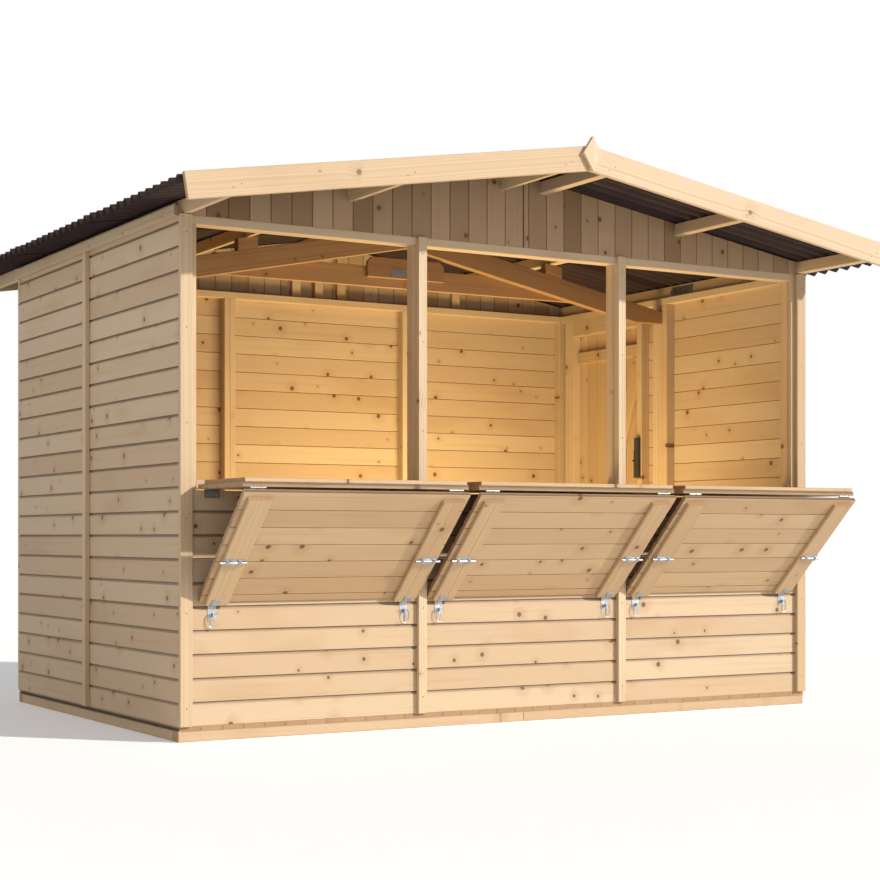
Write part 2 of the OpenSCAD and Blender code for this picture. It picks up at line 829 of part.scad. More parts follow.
base_beams();
base_joists();
floor_boards();
front_cladding();
left_cladding();
back_cladding();
right_cladding_front();
right_cladding_rear();
right_cladding_over_door();
corner_posts();
mullions();
wall_studs();
bottom_rails();
top_rails();
sill_rail();
door_head();
corner_trims();
cover_strips();
eave_strips();
gable_front();
gable_back();
gable_cleats();
purlins();
purlin_plates();
truss_rafters();
truss_tie();
tie_splice();
truss_packers();
barge_boards();
finials();
roof_sheet_left();
roof_sheet_right();
ridge_cap();
hinge_plates();
foot_hasps();
door_keep();
door_leaf();
door_ledges();
door_hinge_straps();
door_lock();
counter(0);  // counter_left
counter_hinges(0);  // counter_hinges_left
prop(0);  // prop_left
prop_ironwork(0);  // prop_ironwork_left
counter(1);  // counter_middle
counter_hinges(1);  // counter_hinges_middle
prop(1);  // prop_middle
prop_ironwork(1);  // prop_ironwork_middle
counter(2);  // counter_right
counter_hinges(2);  // counter_hinges_right
prop(2);  // prop_right
prop_ironwork(2);  // prop_ironwork_right
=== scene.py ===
"""Looks of a wooden market stall, built board by board around its CAD frame.

The stall is a boarded hut with three fold-down hatches, a side door, a nailed
roof truss and a corrugated roof. Every length of timber carries its own place
in the log it was sawn from, so one solid wood pattern gives each face its
grain, its knots and its end rings.
"""

import json
import logging
import math
from dataclasses import dataclass, field
from enum import Enum
from functools import partial
from typing import Any, Callable, Iterable, Sequence

import bmesh
import bpy
import numpy as np
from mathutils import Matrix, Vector

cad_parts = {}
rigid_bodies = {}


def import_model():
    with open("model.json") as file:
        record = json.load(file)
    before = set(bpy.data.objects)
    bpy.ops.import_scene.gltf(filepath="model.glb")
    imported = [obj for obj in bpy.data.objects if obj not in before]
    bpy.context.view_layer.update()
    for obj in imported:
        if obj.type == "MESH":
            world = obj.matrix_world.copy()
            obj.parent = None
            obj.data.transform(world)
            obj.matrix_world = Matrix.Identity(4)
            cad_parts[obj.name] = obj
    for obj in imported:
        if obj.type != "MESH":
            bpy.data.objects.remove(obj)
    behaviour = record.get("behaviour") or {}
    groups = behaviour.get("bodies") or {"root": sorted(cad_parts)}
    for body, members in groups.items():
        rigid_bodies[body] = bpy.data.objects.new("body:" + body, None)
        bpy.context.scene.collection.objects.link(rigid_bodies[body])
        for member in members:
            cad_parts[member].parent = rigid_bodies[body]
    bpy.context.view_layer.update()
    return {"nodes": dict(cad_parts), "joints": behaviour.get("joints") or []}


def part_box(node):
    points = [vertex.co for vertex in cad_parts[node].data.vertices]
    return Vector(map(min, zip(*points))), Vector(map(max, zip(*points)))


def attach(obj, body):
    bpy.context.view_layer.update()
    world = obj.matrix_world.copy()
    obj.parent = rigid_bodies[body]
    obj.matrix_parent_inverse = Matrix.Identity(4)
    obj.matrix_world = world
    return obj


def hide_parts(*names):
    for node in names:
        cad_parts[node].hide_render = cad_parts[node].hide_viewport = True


LOG = logging.getLogger("stall")
X = Vector((1, 0, 0))
Y = Vector((0, 1, 0))
Z = Vector((0, 0, 1))
ROOT = "stall"

Edge = float | Callable[[float], float]
Triple = tuple[float, float, float]
AddNode = Callable[..., Any]


class Stuff(Enum):
    """What a piece is made of. The values are the record's material slots."""

    WALL = "wall_boards"
    HATCH = "hatch_boards"
    FRAMING = "framing_timber"
    TRUSS = "truss_timber"
    BASE = "base_timber"
    SHEET = "corrugated_sheet"
    ZINC = "galvanised_steel"
    IRON = "black_iron"


class Hatch(Enum):
    """The three hatches, named by where they hang."""

    LEFT = "left"
    MIDDLE = "middle"
    RIGHT = "right"


class Head(Enum):
    """Heads of the nails, screws and bolts: radius, and height over the surface."""

    BOARD_NAIL = (0.0016, 0.0003)
    BARGE_SCREW = (0.0026, 0.0003)
    LEDGE_SCREW = (0.0028, 0.0003)
    TRIM_SCREW = (0.0028, 0.0004)
    STRAP_SCREW = (0.0032, 0.0009)
    BATTEN_SCREW = (0.0034, 0.0004)
    HASP_SCREW = (0.0036, 0.001)
    HINGE_SCREW = (0.0038, 0.001)
    LOCK_SCREW = (0.004, 0.001)
    PLATE_SCREW = (0.0042, 0.0012)
    DOOR_BOLT = (0.005, 0.0016)


# ---------------------------------------------------------------- materials


def linear(code: str) -> tuple[float, float, float, float]:
    """Turns a sRGB hex colour into linear light.

    Args:
        code: Six hex digits after a hash sign.

    Returns:
        Red, green, blue and alpha for a shader socket.
    """
    parts = [int(code[i : i + 2], 16) / 255 for i in (1, 3, 5)]
    red, green, blue = (p / 12.92 if p <= 0.04045 else ((p + 0.055) / 1.055) ** 2.4 for p in parts)
    return red, green, blue, 1.0


def add_node(tree: bpy.types.NodeTree, kind: str, *inputs: Any, **settings: Any) -> Any:
    """Adds one shader node.

    Args:
        tree: The node tree it goes into.
        kind: The node's type without its "ShaderNode" prefix.
        inputs: Constants or sockets for its first inputs, or one dict of them by name or place.
        settings: Node properties and their values.

    Returns:
        The new node's outputs.
    """
    node = tree.nodes.new("ShaderNode" + kind)
    for key, value in settings.items():
        setattr(node, key, value)
    by_key = inputs[0] if inputs and isinstance(inputs[0], dict) else dict(enumerate(inputs))
    for key, value in by_key.items():
        if isinstance(value, bpy.types.NodeSocket):
            tree.links.new(value, node.inputs[key])
        else:
            node.inputs[key].default_value = value
    return node.outputs


def blank_material(name: str) -> tuple[bpy.types.Material, AddNode]:
    """Makes a material with an empty node tree.

    Args:
        name: The material's name.

    Returns:
        The material, and add_node for its tree.
    """
    made = bpy.data.materials.new(name)
    made.use_nodes = True
    made.node_tree.nodes.clear()
    return made, partial(add_node, made.node_tree)


def finish_surface(add: AddNode, inputs: dict[str, Any], height: Any, depth: float) -> None:
    """Ends a material with a bump, a principled surface and the output.

    Args:
        add: Function that adds a node to the material.
        inputs: Inputs of the principled surface.
        height: Socket that drives the bump.
        depth: Height of the bump in metres.
    """
    bump = add("Bump", {"Height": height, "Distance": depth, "Strength": 0.7})["Normal"]
    surface = add("BsdfPrincipled", {**inputs, "Normal": bump})["BSDF"]
    add("OutputMaterial", {"Surface": surface})


@dataclass(frozen=True)
class WoodFinish:
    """A planed or sawn softwood surface."""

    name: str
    early: str
    late: str
    dark: str
    knot: str
    seam: str
    cut_end: str = "#8A6440"
    # Painted shade: tones above 1 blend towards this brown, for boards that stand in shade
    painted_shade: str = "#6C4A26"
    # Spruce grows rings of 1 to 4 mm; they are drawn 4.2 mm wide, or they wouldn't show
    ring_w: float = 0.0042
    ring_wander: float = 0.030
    knot_gap: float = 0.14
    knot_share: float = 0.44
    knot_r: tuple[float, float] = (0.0045, 0.0145)
    knot_push: float = 0.011
    roughness: float = 0.62
    relief: float = 0.0004
    # Waves in a metre along and across the grain, and detail: rings that wander over 110 mm,
    # streaks 18 mm wide, fibre 1.1 mm wide (coarser than the real one, to show), 250 mm clouds
    wander: Triple = (0.9, 9.0, 2.0)
    streak: Triple = (1.3, 55.0, 3.0)
    fibre: Triple = (22.0, 900.0, 2.0)
    cloud: Triple = (1.6, 4.0, 2.0)

    def material(self) -> bpy.types.Material:
        """Builds the wood's procedural material.

        Returns:
            A material that reads the "grain" and "cut" attributes.
        """
        made, add = blank_material(self.name)
        smooth = {"interpolation_type": "SMOOTHSTEP"}
        times = {"operation": "MULTIPLY"}
        grain, cut = (add("Attribute", attribute_name=key)["Vector"] for key in ("grain", "cut"))
        _, across, through = add("SeparateXYZ", grain)
        tone, seam, end = add("SeparateXYZ", cut)

        # Knots: one spot in some cells of a square net laid on the board's face
        net = {"Vector": grain, "Scale": 1 / self.knot_gap}
        knots = add("TexVoronoi", net, voronoi_dimensions="2D")
        lot = add("SeparateColor", knots["Color"])
        kept = add("Math", lot[0], self.knot_share, operation="LESS_THAN")[0]
        small, large = (r / self.knot_gap for r in self.knot_r)
        size = add("MapRange", lot[1], 0.0, 1.0, small, large, **smooth)[0]
        rims = [add("Math", size, share, **times)[0] for share in (0.6, 1.0, 4.5)]
        fades = [
            add("MapRange", knots["Distance"], rim, outer, 1.0, 0.0, **smooth)[0]
            for rim, outer in zip(rims, rims[1:])
        ]
        spot, swirl = (add("Math", kept, fade, **times)[0] for fade in fades)

        # Uneven growth, in the wood's own coordinates
        noises = []
        for run, row, detail in (self.wander, self.streak, self.fibre, self.cloud):
            place = add("VectorMath", grain, (run, row, row), **times)[0]
            noises.append(add("TexNoise", {"Vector": place, "Scale": 1.0, "Detail": detail})["Fac"])
        wander, streak, fibre, cloud = noises

        # Growth rings about the pith, pushed aside where they pass a knot
        for share, push in ((wander, self.ring_wander), (swirl, self.knot_push)):
            across = add("Math", share, push, across, operation="MULTIPLY_ADD")[0]
        flat = add("CombineXYZ", 0.0, across, through)[0]
        radius = add("VectorMath", flat, operation="LENGTH")["Value"]
        turn = add("Math", radius, self.ring_w, operation="DIVIDE")[0]
        turn = add("Math", turn, operation="FRACT")[0]
        rise = add("MapRange", turn, 0.25, 0.9, **smooth)[0]
        fall = add("MapRange", turn, 0.92, 1.0, 1.0, 0.0, **smooth)[0]
        ring = add("Math", rise, fall, **times)[0]

        # Colour, in layers over the early wood: what each shows, at most how much, and its colour
        streaks, toned, clouds, painted_shade = (
            add("MapRange", source, low, high, **smooth)[0]
            for source, low, high in ((streak, 0.52, 0.78), (tone, 0, 1), (cloud, 0.5, 0.75), (tone, 1, 2))
        )
        colour: Any = linear(self.early)
        for share, most, code in (
            (ring, 0.55, self.late),
            (streaks, 0.45, self.late),
            (toned, 0.55, self.dark),
            (clouds, 0.35, self.dark),
            (swirl, 0.32, self.dark),
            # Painted shade: the tone above 1 darkens the wood, standing in for shade
            (painted_shade, 0.85, self.painted_shade),
            (spot, 0.92, self.knot),
            (end, 0.62, self.cut_end),
            (seam, 0.88, self.seam),
        ):
            layer = {"Factor": add("Math", share, most, **times)[0], 6: colour, 7: linear(code)}
            colour = add("Mix", layer, data_type="RGBA")[2]

        # Late wood stands proud and is duller; knots are sunk and shine
        rough: Any = self.roughness
        for share, step in ((spot, -0.14), (ring, 0.08)):
            rough = add("Math", share, step, rough, operation="MULTIPLY_ADD")[0]
        height: Any = 0.0
        for share, step in ((ring, 0.3), (fibre, 0.55), (spot, -0.6)):
            height = add("Math", share, step, height, operation="MULTIPLY_ADD")[0]
        finish_surface(add, {"Base Color": colour, "Roughness": rough}, height, self.relief)
        return made


@dataclass(frozen=True)
class ZincFinish:
    """Hot-dip galvanised steel with its crystal pattern, brushed by handling."""

    name: str = "zinc_hot_dip_spangle"
    light: str = "#B4B7BA"
    dull: str = "#85898C"
    crystal: float = 0.011
    blotch: float = 1 / 60
    roughness: tuple[float, float] = (0.32, 0.52)
    relief: float = 0.00015

    def material(self) -> bpy.types.Material:
        """Builds the metal's procedural material.

        Returns:
            The material.
        """
        made, add = blank_material(self.name)
        place = add("TexCoord")["Object"]
        cells = add("TexVoronoi", {"Vector": place, "Scale": 1 / self.crystal})
        lot = add("SeparateColor", cells["Color"])
        dust = add("TexNoise", {"Vector": place, "Scale": 1 / self.blotch, "Detail": 4.0})["Fac"]
        share = add("Math", lot[0], dust, operation="MULTIPLY")[0]
        layer = {"Factor": share, 6: linear(self.light), 7: linear(self.dull)}
        colour = add("Mix", layer, data_type="RGBA")[2]
        rough = add("MapRange", lot[1], 0.0, 1.0, *self.roughness)[0]
        look = {"Base Color": colour, "Roughness": rough, "Metallic": 1.0}
        finish_surface(add, look, dust, self.relief)
        return made


@dataclass(frozen=True)
class CoatedFinish:
    """A matt coating over a rough ground: lacquered iron, or bitumen and fibre board."""

    name: str
    base: str
    worn: str
    grit: float
    roughness: float
    relief: float
    patch: float = 0.2
    uneven: float = 0.1

    def material(self) -> bpy.types.Material:
        """Builds the coating's procedural material.

        Returns:
            The material.
        """
        made, add = blank_material(self.name)
        place = add("TexCoord")["Object"]
        patches, grit = (
            add("TexNoise", {"Vector": place, "Scale": 1 / size, "Detail": detail})["Fac"]
            for size, detail in ((self.patch, 5.0), (self.grit, 3.0))
        )
        both = add("Math", patches, grit, operation="MULTIPLY")[0]
        share = add("MapRange", both, 0.15, 0.45)[0]
        layer = {"Factor": share, 6: linear(self.base), 7: linear(self.worn)}
        colour = add("Mix", layer, data_type="RGBA")[2]
        ends = self.roughness - self.uneven, self.roughness + self.uneven
        rough = add("MapRange", grit, 0.0, 1.0, *ends)[0]
        finish_surface(add, {"Base Color": colour, "Roughness": rough}, grit, self.relief)
        return made


FINISHES: dict[Stuff, WoodFinish | ZincFinish | CoatedFinish] = {
    # Planed shiplap: pale and warm, small brown knots, dark laps
    Stuff.WALL: WoodFinish(
        "spruce_planed_shiplap", "#C2AD8F", "#B0906B", "#A27D56", "#5E3A20", "#55402A"
    ),
    # The same boards in the hatches and the door, a shade deeper
    Stuff.HATCH: WoodFinish(
        "spruce_planed_hatch_board", "#BFA47F", "#AC885F", "#9C774D", "#5E3A1E", "#50371F"
    ),
    # Planed battens, studs and trims: calmer grain, fewer knots
    Stuff.FRAMING: WoodFinish(
        "spruce_planed_batten", "#C6B091", "#B39570", "#A7855D", "#694226", "#4A331F", knot_share=0.2
    ),
    # Truss boards darkened by dipping: reddish brown, strong grain
    Stuff.TRUSS: WoodFinish(
        "pine_dipped_truss_board", "#A88255", "#8F6840", "#7B5332", "#4A2815", "#3A2213", knot_share=0.35
    ),
    # Sawn ground timbers and floor boards: duller, rougher
    Stuff.BASE: WoodFinish(
        "spruce_sawn_ground_timber",
        "#BFA888",
        "#AB8A65",
        "#9D7A52",
        "#6A4225",
        "#3F2C1B",
        roughness=0.74,
        relief=0.0008,
    ),
    # Brown bitumen sheet: matt, faded in patches; its 1 mm fibres are drawn 3 mm wide, to show
    Stuff.SHEET: CoatedFinish("bitumen_fibre_sheet_brown", "#1C0A0B", "#301416", 0.003, 0.82, 0.0006),
    # Galvanised ironmongery: light grey with a faint crystal pattern
    Stuff.ZINC: ZincFinish(),
    # Lacquered iron: black, half matt, rubbed lighter in places, its grit coarser than real
    Stuff.IRON: CoatedFinish("iron_lacquered_black", "#232324", "#3A3937", 0.0015, 0.5, 0.0002),
}


# ---------------------------------------------------------------- boards and lays


@dataclass(frozen=True)
class Corner:
    """One corner of a board's section, and how much it lies in a dark seam."""

    across: float
    through: float
    seam: float = 0.0


@dataclass(frozen=True)
class Lay:
    """Where a board lies: a point of its inner face and two of its directions."""

    origin: Vector
    along: Vector
    across: Vector

    @property
    def through(self) -> Vector:
        """Direction from the inner face to the outer one."""
        return self.along.cross(self.across)

    def at(self, s: float, a: float, t: float) -> Vector:
        """Gives the point at s along, a across and t through."""
        return self.origin + s * self.along + a * self.across + t * self.through

    def lifted(self, s: float, a: float, t: float) -> "Lay":
        """Gives the same lay with its origin moved."""
        return Lay(self.at(s, a, t), self.along, self.across)


@dataclass(frozen=True)
class LogPlace:
    """Where in its log a length was sawn, and how dark it came out, with any painted shade added to its tone.
    """

    along: float
    across: float
    through: float
    tone: float


def shiplap(width: float, depth: float, whole: bool = True) -> list[Corner]:
    """Draws a shiplap board's section.

    Args:
        width: Width that the board covers.
        depth: Thickness.
        whole: False for a ripped board, which has no cove along its upper edge.

    Returns:
        The section's corners: outer face from the lower edge up, then the inner face.
    """
    lip, cove_w, cove_d, vee = 0.0012, 0.012, 0.0070, 0.0028
    outer = [Corner(0, depth - lip, 0.5), Corner(lip, depth)]
    if whole:
        for step in range(6):
            cos, sin = math.cos(math.pi / 2 * step / 5), math.sin(math.pi / 2 * step / 5)
            outer.append(Corner(width - cove_w * cos, depth - cove_d * sin, sin**3))
    else:
        outer += [Corner(width - lip, depth), Corner(width, depth - lip, 0.3)]
    return outer + [Corner(width, vee, 1.0), Corner(width - vee, 0), Corner(vee, 0), Corner(0, vee, 1.0)]


def rebated_board(width: float, depth: float) -> list[Corner]:
    """Draws a floor board's section, stepped where it laps the next board.

    Args:
        width: Width that the board covers.
        depth: Thickness.

    Returns:
        The section's corners.
    """
    step = 0.006
    edge = width - 0.0011
    tongue = ((edge, 0.62), (edge + step, 0.5), (edge + step, 0.38), (edge, 0.26))
    groove = ((0, 0.22), (step, 0.34), (step, 0.54), (0, 0.66))
    return [
        Corner(0, depth, 0.2),
        Corner(edge, depth, 0.2),
        *(Corner(a, depth * share, 1.0) for a, share in tongue),
        Corner(edge, 0, 0.4),
        Corner(0, 0, 0.4),
        *(Corner(a, depth * share, 1.0) for a, share in groove),
    ]


def eased_bar(width: float, depth: float, ease: float, seam: float = 0.0) -> list[Corner]:
    """Draws a planed bar's section, with its four edges taken off.

    Args:
        width: Width of the bar.
        depth: Thickness of the bar.
        ease: Width taken off each edge.
        seam: How dark its narrow sides are.

    Returns:
        The section's corners.
    """
    return [
        Corner(0, depth - ease, seam),
        Corner(ease, depth),
        Corner(width - ease, depth),
        Corner(width, depth - ease, seam),
        Corner(width, ease, seam),
        Corner(width - ease, 0),
        Corner(ease, 0),
        Corner(0, ease, seam),
    ]


def vee_board(width: float, depth: float) -> list[Corner]:
    """Draws a matched board's section, with a small dark vee at each edge of both faces."""
    return eased_bar(width, depth, 0.0030, 1.0)


class Draft:
    """The faces of one piece while it is being made, with wood coordinates at every corner."""

    def __init__(self, seed: int) -> None:
        """Starts an empty piece.

        Args:
            seed: Seed of the piece's own random choices.
        """
        self.rng = np.random.default_rng(seed)
        # Painted shade added to the tone of every length in this piece
        self.age = 0.0
        self.points: list[Vector] = []
        self.faces: list[list[int]] = []
        self.grain: list[Triple] = []
        self.cut: list[Triple] = []
        self.smooth: list[bool] = []

    def place_in_log(self, width: float) -> LogPlace:
        """Picks where in a log the next length was sawn.

        Args:
            width: Width of the length, which is set about the pith.

        Returns:
            The place in the log.
        """
        rng = self.rng
        return LogPlace(
            rng.uniform(0, 60),
            rng.uniform(-0.035, 0.035) - width / 2,
            rng.uniform(0.012, 0.075),
            # The random tone, plus the painted shade set for this piece
            float(np.clip(rng.normal(0.42, 0.17), 0, 1)) + self.age,
        )

    def face(
        self,
        ids: Sequence[int],
        grain: Sequence[Triple] = (),
        cut: Sequence[Triple] = (),
        smooth: bool = False,
    ) -> None:
        """Adds one face.

        Args:
            ids: Its corners.
            grain: Each corner's place in the log, if it is wood.
            cut: Each corner's tone, seam and end, if it is wood.
            smooth: True to shade it as part of a round surface.
        """
        plain = [(0.0, 0.0, 0.0)] * len(ids)
        self.faces.append(list(ids))
        self.grain.extend(grain or plain)
        self.cut.extend(cut or plain)
        self.smooth.append(smooth)

    def board(self, lay: Lay, section: Sequence[Corner], low: Edge, high: Edge) -> None:
        """Adds a length with the same section all along.

        Args:
            lay: Where the board lies.
            section: Its section.
            low: Where it starts along the lay, or a function of the place across.
            high: Where it ends.
        """
        width = max(c.across for c in section) - min(c.across for c in section)
        log = self.place_in_log(width)
        first, count = len(self.points), len(section)
        wood: list[Triple] = []
        for end in (low, high):
            for c in section:
                s = end(c.across) if callable(end) else end
                self.points.append(lay.at(s, c.across, c.through))
                wood.append((s + log.along, c.across + log.across, c.through + log.through))
        for i in range(count):
            j = (i + 1) % count
            ids = (i, j, j + count, i + count)
            cut = [(log.tone, section[k % count].seam, 0.0) for k in ids]
            self.face([first + k for k in ids], [wood[k] for k in ids], cut)
        for ids in (range(count), range(count, 2 * count)):
            self.face([first + k for k in ids], [wood[k] for k in ids], [(log.tone, 0.0, 1.0)] * count)

    def bar(self, lay: Lay, size: Triple, ease: float) -> None:
        """Adds a planed bar of a length, width and thickness that starts at the lay's origin."""
        self.board(lay, eased_bar(size[1], size[2], ease), 0.0, size[0])

    def boarding(
        self,
        lay: Lay,
        section: Callable[..., list[Corner]],
        depth: float,
        pitch: float,
        band: tuple[float, float],
        low: Edge,
        high: Edge,
    ) -> int:
        """Covers a band with boards side by side.

        Args:
            lay: Where the boarding lies.
            section: Function that draws one board's section.
            depth: Thickness of the boards.
            pitch: Width that one board covers.
            band: Where the boarding starts and stops across the lay.
            low: Where the boards start along the lay, or a function of the place across.
            high: Where they end.

        Returns:
            Number of boards.
        """
        thinnest, ripped = 0.08, 0.98
        count = max(1, math.ceil((band[1] - band[0]) / pitch - thinnest))
        for i in range(count):
            start = band[0] + i * pitch
            width = pitch if i < count - 1 else band[1] - start
            drawn = section(width, depth)
            if section is shiplap and width < pitch * ripped:
                drawn = shiplap(width, depth, False)
            moved = [Corner(c.across + start, c.through, c.seam) for c in drawn]
            self.board(lay, moved, low, high)
        return count

    def timbers(self, nodes: Sequence[bpy.types.Object], ease: float, along: Vector | None = None) -> None:
        """Adds every length of timber of some CAD nodes, with its edges eased.

        Args:
            nodes: The CAD nodes.
            ease: Width taken off each edge.
            along: Direction of the grain, or None for each length's longest edge.
        """
        for node in nodes:
            for solid in solids_of(node):
                way = along or longest_edge(solid)
                bmesh.ops.bevel(
                    solid, geom=solid.edges[:], offset=ease, segments=1, affect="EDGES", clamp_overlap=True
                )
                self.timber(solid, way)
                solid.free()

    def timber(self, solid: bmesh.types.BMesh, way: Vector) -> None:
        """Adds one length of timber.

        Args:
            solid: Its shape.
            way: Direction of the grain.
        """
        places = [v.co for v in solid.verts]
        side = edge_across(solid, way)
        thick = way.cross(side)
        spans = [reach_of(places, d) for d in (side, thick)]
        if spans[0][1] - spans[0][0] < spans[1][1] - spans[1][0]:
            side, thick, spans = thick, side, spans[::-1]
        log = self.place_in_log(spans[0][1] - spans[0][0])
        first = len(self.points)
        solid.verts.index_update()
        self.points.extend(p.copy() for p in places)
        for f in solid.faces:
            end = 1.0 if abs(f.normal.dot(way)) > 0.8 else 0.0
            wood = [
                (
                    v.co.dot(way) + log.along,
                    v.co.dot(side) - spans[0][0] + log.across,
                    v.co.dot(thick) - spans[1][0] + log.through,
                )
                for v in f.verts
            ]
            self.face([first + v.index for v in f.verts], wood, [(log.tone, 0.0, end)] * len(wood))

    def ring_strip(self, rings: Sequence[Sequence[Vector]], closed: bool) -> None:
        """Adds a skin over a row of rings of points.

        Args:
            rings: Rings with the same number of points each.
            closed: True if the last ring joins the first, False to close both ends.
        """
        first, count = len(self.points), len(rings[0])
        for ring in rings:
            self.points.extend(ring)
        spans = len(rings) if closed else len(rings) - 1
        for r in range(spans):
            here, there = first + r * count, first + (r + 1) % len(rings) * count
            for i in range(count):
                j = (i + 1) % count
                self.face([here + i, here + j, there + j, there + i], smooth=True)
        if not closed:
            for start in (first, first + (len(rings) - 1) * count):
                self.face(range(start, start + count))

    def rod(self, path: Sequence[Vector], radius: float, sides: int, closed: bool = False) -> None:
        """Adds a round wire or rod along a path.

        Args:
            path: Points of its middle line.
            radius: Radius of the rod.
            sides: Number of sides.
            closed: True for a ring.
        """
        rings = []
        up = (path[1] - path[0]).orthogonal().normalized()
        turns = [2 * math.pi * k / sides for k in range(sides)]
        for i, p in enumerate(path):
            ahead = path[(i + 1) % len(path)] if closed or i + 1 < len(path) else p
            behind = path[i - 1] if closed or i else p
            way = (ahead - behind).normalized()
            up = (up - up.dot(way) * way).normalized()
            side = way.cross(up)
            rings.append([p + radius * (math.cos(t) * up + math.sin(t) * side) for t in turns])
        self.ring_strip(rings, closed)

    def knob(self, at: Vector, axis: Vector, radius: float, profile: Sequence[tuple[float, float]]) -> None:
        """Adds a small round shape, such as a screw head or a nail's cap.

        Args:
            at: Its middle, on the surface.
            axis: Direction it faces.
            radius: Its radius.
            profile: Share of the radius and height over the surface, from its foot to its top.
        """
        up = axis.orthogonal().normalized()
        side = axis.cross(up)
        turns = [2 * math.pi * k / 10 for k in range(10)]
        rings = [
            [at + radius * r * (math.cos(t) * up + math.sin(t) * side) + h * axis for t in turns]
            for r, h in profile
        ]
        self.ring_strip(rings, False)

    def screw(self, at: Vector, axis: Vector, head: Head) -> None:
        """Adds a screw head with a driven recess at a place on the surface."""
        radius, proud = head.value
        rim = ((1.0, -0.0015), (1.0, 0.5 * proud), (0.86, proud))
        self.knob(at, axis, radius, (*rim, (0.42, proud), (0.3, -0.001)))

    def holed_plate(
        self, lay: Lay, size: tuple[float, float], thick: float, pitch: float, radius: float
    ) -> None:
        """Adds a plate with rows of round holes.

        Args:
            lay: Lay whose origin is one corner of the plate.
            size: Length and width.
            thick: Thickness.
            pitch: Distance between holes.
            radius: Radius of a hole.
        """
        columns, rows = (max(1, round(s / pitch)) for s in size)
        step, rise = size[0] / columns, size[1] / rows
        outline = []
        for k in range(8):
            cos, sin = math.cos(math.pi / 4 * k), math.sin(math.pi / 4 * k)
            reach = 2 * max(abs(cos), abs(sin))
            outline += [(cos / reach * step, sin / reach * rise), (cos * radius, sin * radius)]
        for c in range(columns):
            for r in range(rows):
                first = len(self.points)
                for t in (0.0, thick):
                    for wide, tall in outline:
                        self.points.append(lay.at((c + 0.5) * step + wide, (r + 0.5) * rise + tall, t))
                for k in range(8):
                    a, b = first + 2 * k, first + 2 * ((k + 1) % 8)
                    self.face((a, b, b + 1, a + 1))
                    self.face((a + 16, a + 17, b + 17, b + 16))
                    self.face((a + 1, b + 1, b + 17, a + 17))
                    self.face((a, a + 16, b + 16, b))

    def mesh(self, name: str) -> bpy.types.Mesh:
        """Turns the draft into a mesh with its two attributes.

        Args:
            name: The mesh's name.

        Returns:
            The mesh, with its faces turned outwards.
        """
        mesh = bpy.data.meshes.new(name)
        mesh.from_pydata([tuple(p) for p in self.points], [], self.faces)
        for key, rows in (("grain", self.grain), ("cut", self.cut)):
            layer = mesh.attributes.new(key, "FLOAT_VECTOR", "CORNER")
            layer.data.foreach_set("vector", np.asarray(rows, dtype=np.float32).ravel())
        mesh.polygons.foreach_set("use_smooth", self.smooth)
        turned = bmesh.new()
        turned.from_mesh(mesh)
        bmesh.ops.recalc_face_normals(turned, faces=turned.faces)
        turned.to_mesh(mesh)
        turned.free()
        if any(self.smooth):
            mesh.set_sharp_from_angle(angle=math.radians(38))
        return mesh


def solids_of(node: bpy.types.Object) -> list[bmesh.types.BMesh]:
    """Splits a CAD node into its separate solids.

    Args:
        node: The CAD node, which is left as it is.

    Returns:
        One mesh for each solid, with its flat faces made whole.
    """
    whole = bmesh.new()
    whole.from_mesh(node.data)
    bmesh.ops.remove_doubles(whole, verts=whole.verts, dist=1e-6)
    bmesh.ops.dissolve_limit(whole, angle_limit=math.radians(0.5), verts=whole.verts, edges=whole.edges)
    whole.verts.index_update()
    left = set(whole.verts)
    found = []
    while left:
        start = min(left, key=lambda v: v.index)
        group, todo = {start}, [start]
        while todo:
            for e in todo.pop().link_edges:
                for v in e.verts:
                    if v not in group:
                        group.add(v)
                        todo.append(v)
        left -= group
        solid = bmesh.new()
        copies = {v.index: solid.verts.new(v.co) for v in sorted(group, key=lambda v: v.index)}
        for f in whole.faces:
            if f.verts[0] in group:
                solid.faces.new([copies[v.index] for v in f.verts])
        solid.normal_update()
        found.append(solid)
    whole.free()
    return found


def longest_edge(solid: bmesh.types.BMesh) -> Vector:
    """Gives the direction of a solid's longest edge."""
    edge = max(solid.edges, key=lambda e: round(e.calc_length(), 5))
    return (edge.verts[1].co - edge.verts[0].co).normalized()


def edge_across(solid: bmesh.types.BMesh, way: Vector) -> Vector:
    """Finds a direction across a timber.

    Args:
        solid: The timber.
        way: Direction of its grain.

    Returns:
        Direction of its longest edge that is square to the grain.
    """
    for e in sorted(solid.edges, key=lambda e: -e.calc_length()):
        run = (e.verts[1].co - e.verts[0].co).normalized()
        if abs(run.dot(way)) < 0.05:
            return run
    return way.orthogonal().normalized()


def reach_of(points: Iterable[Vector], way: Vector) -> tuple[float, float]:
    """Gives how low and how high some points reach along a direction."""
    places = [p.dot(way) for p in points]
    return min(places), max(places)


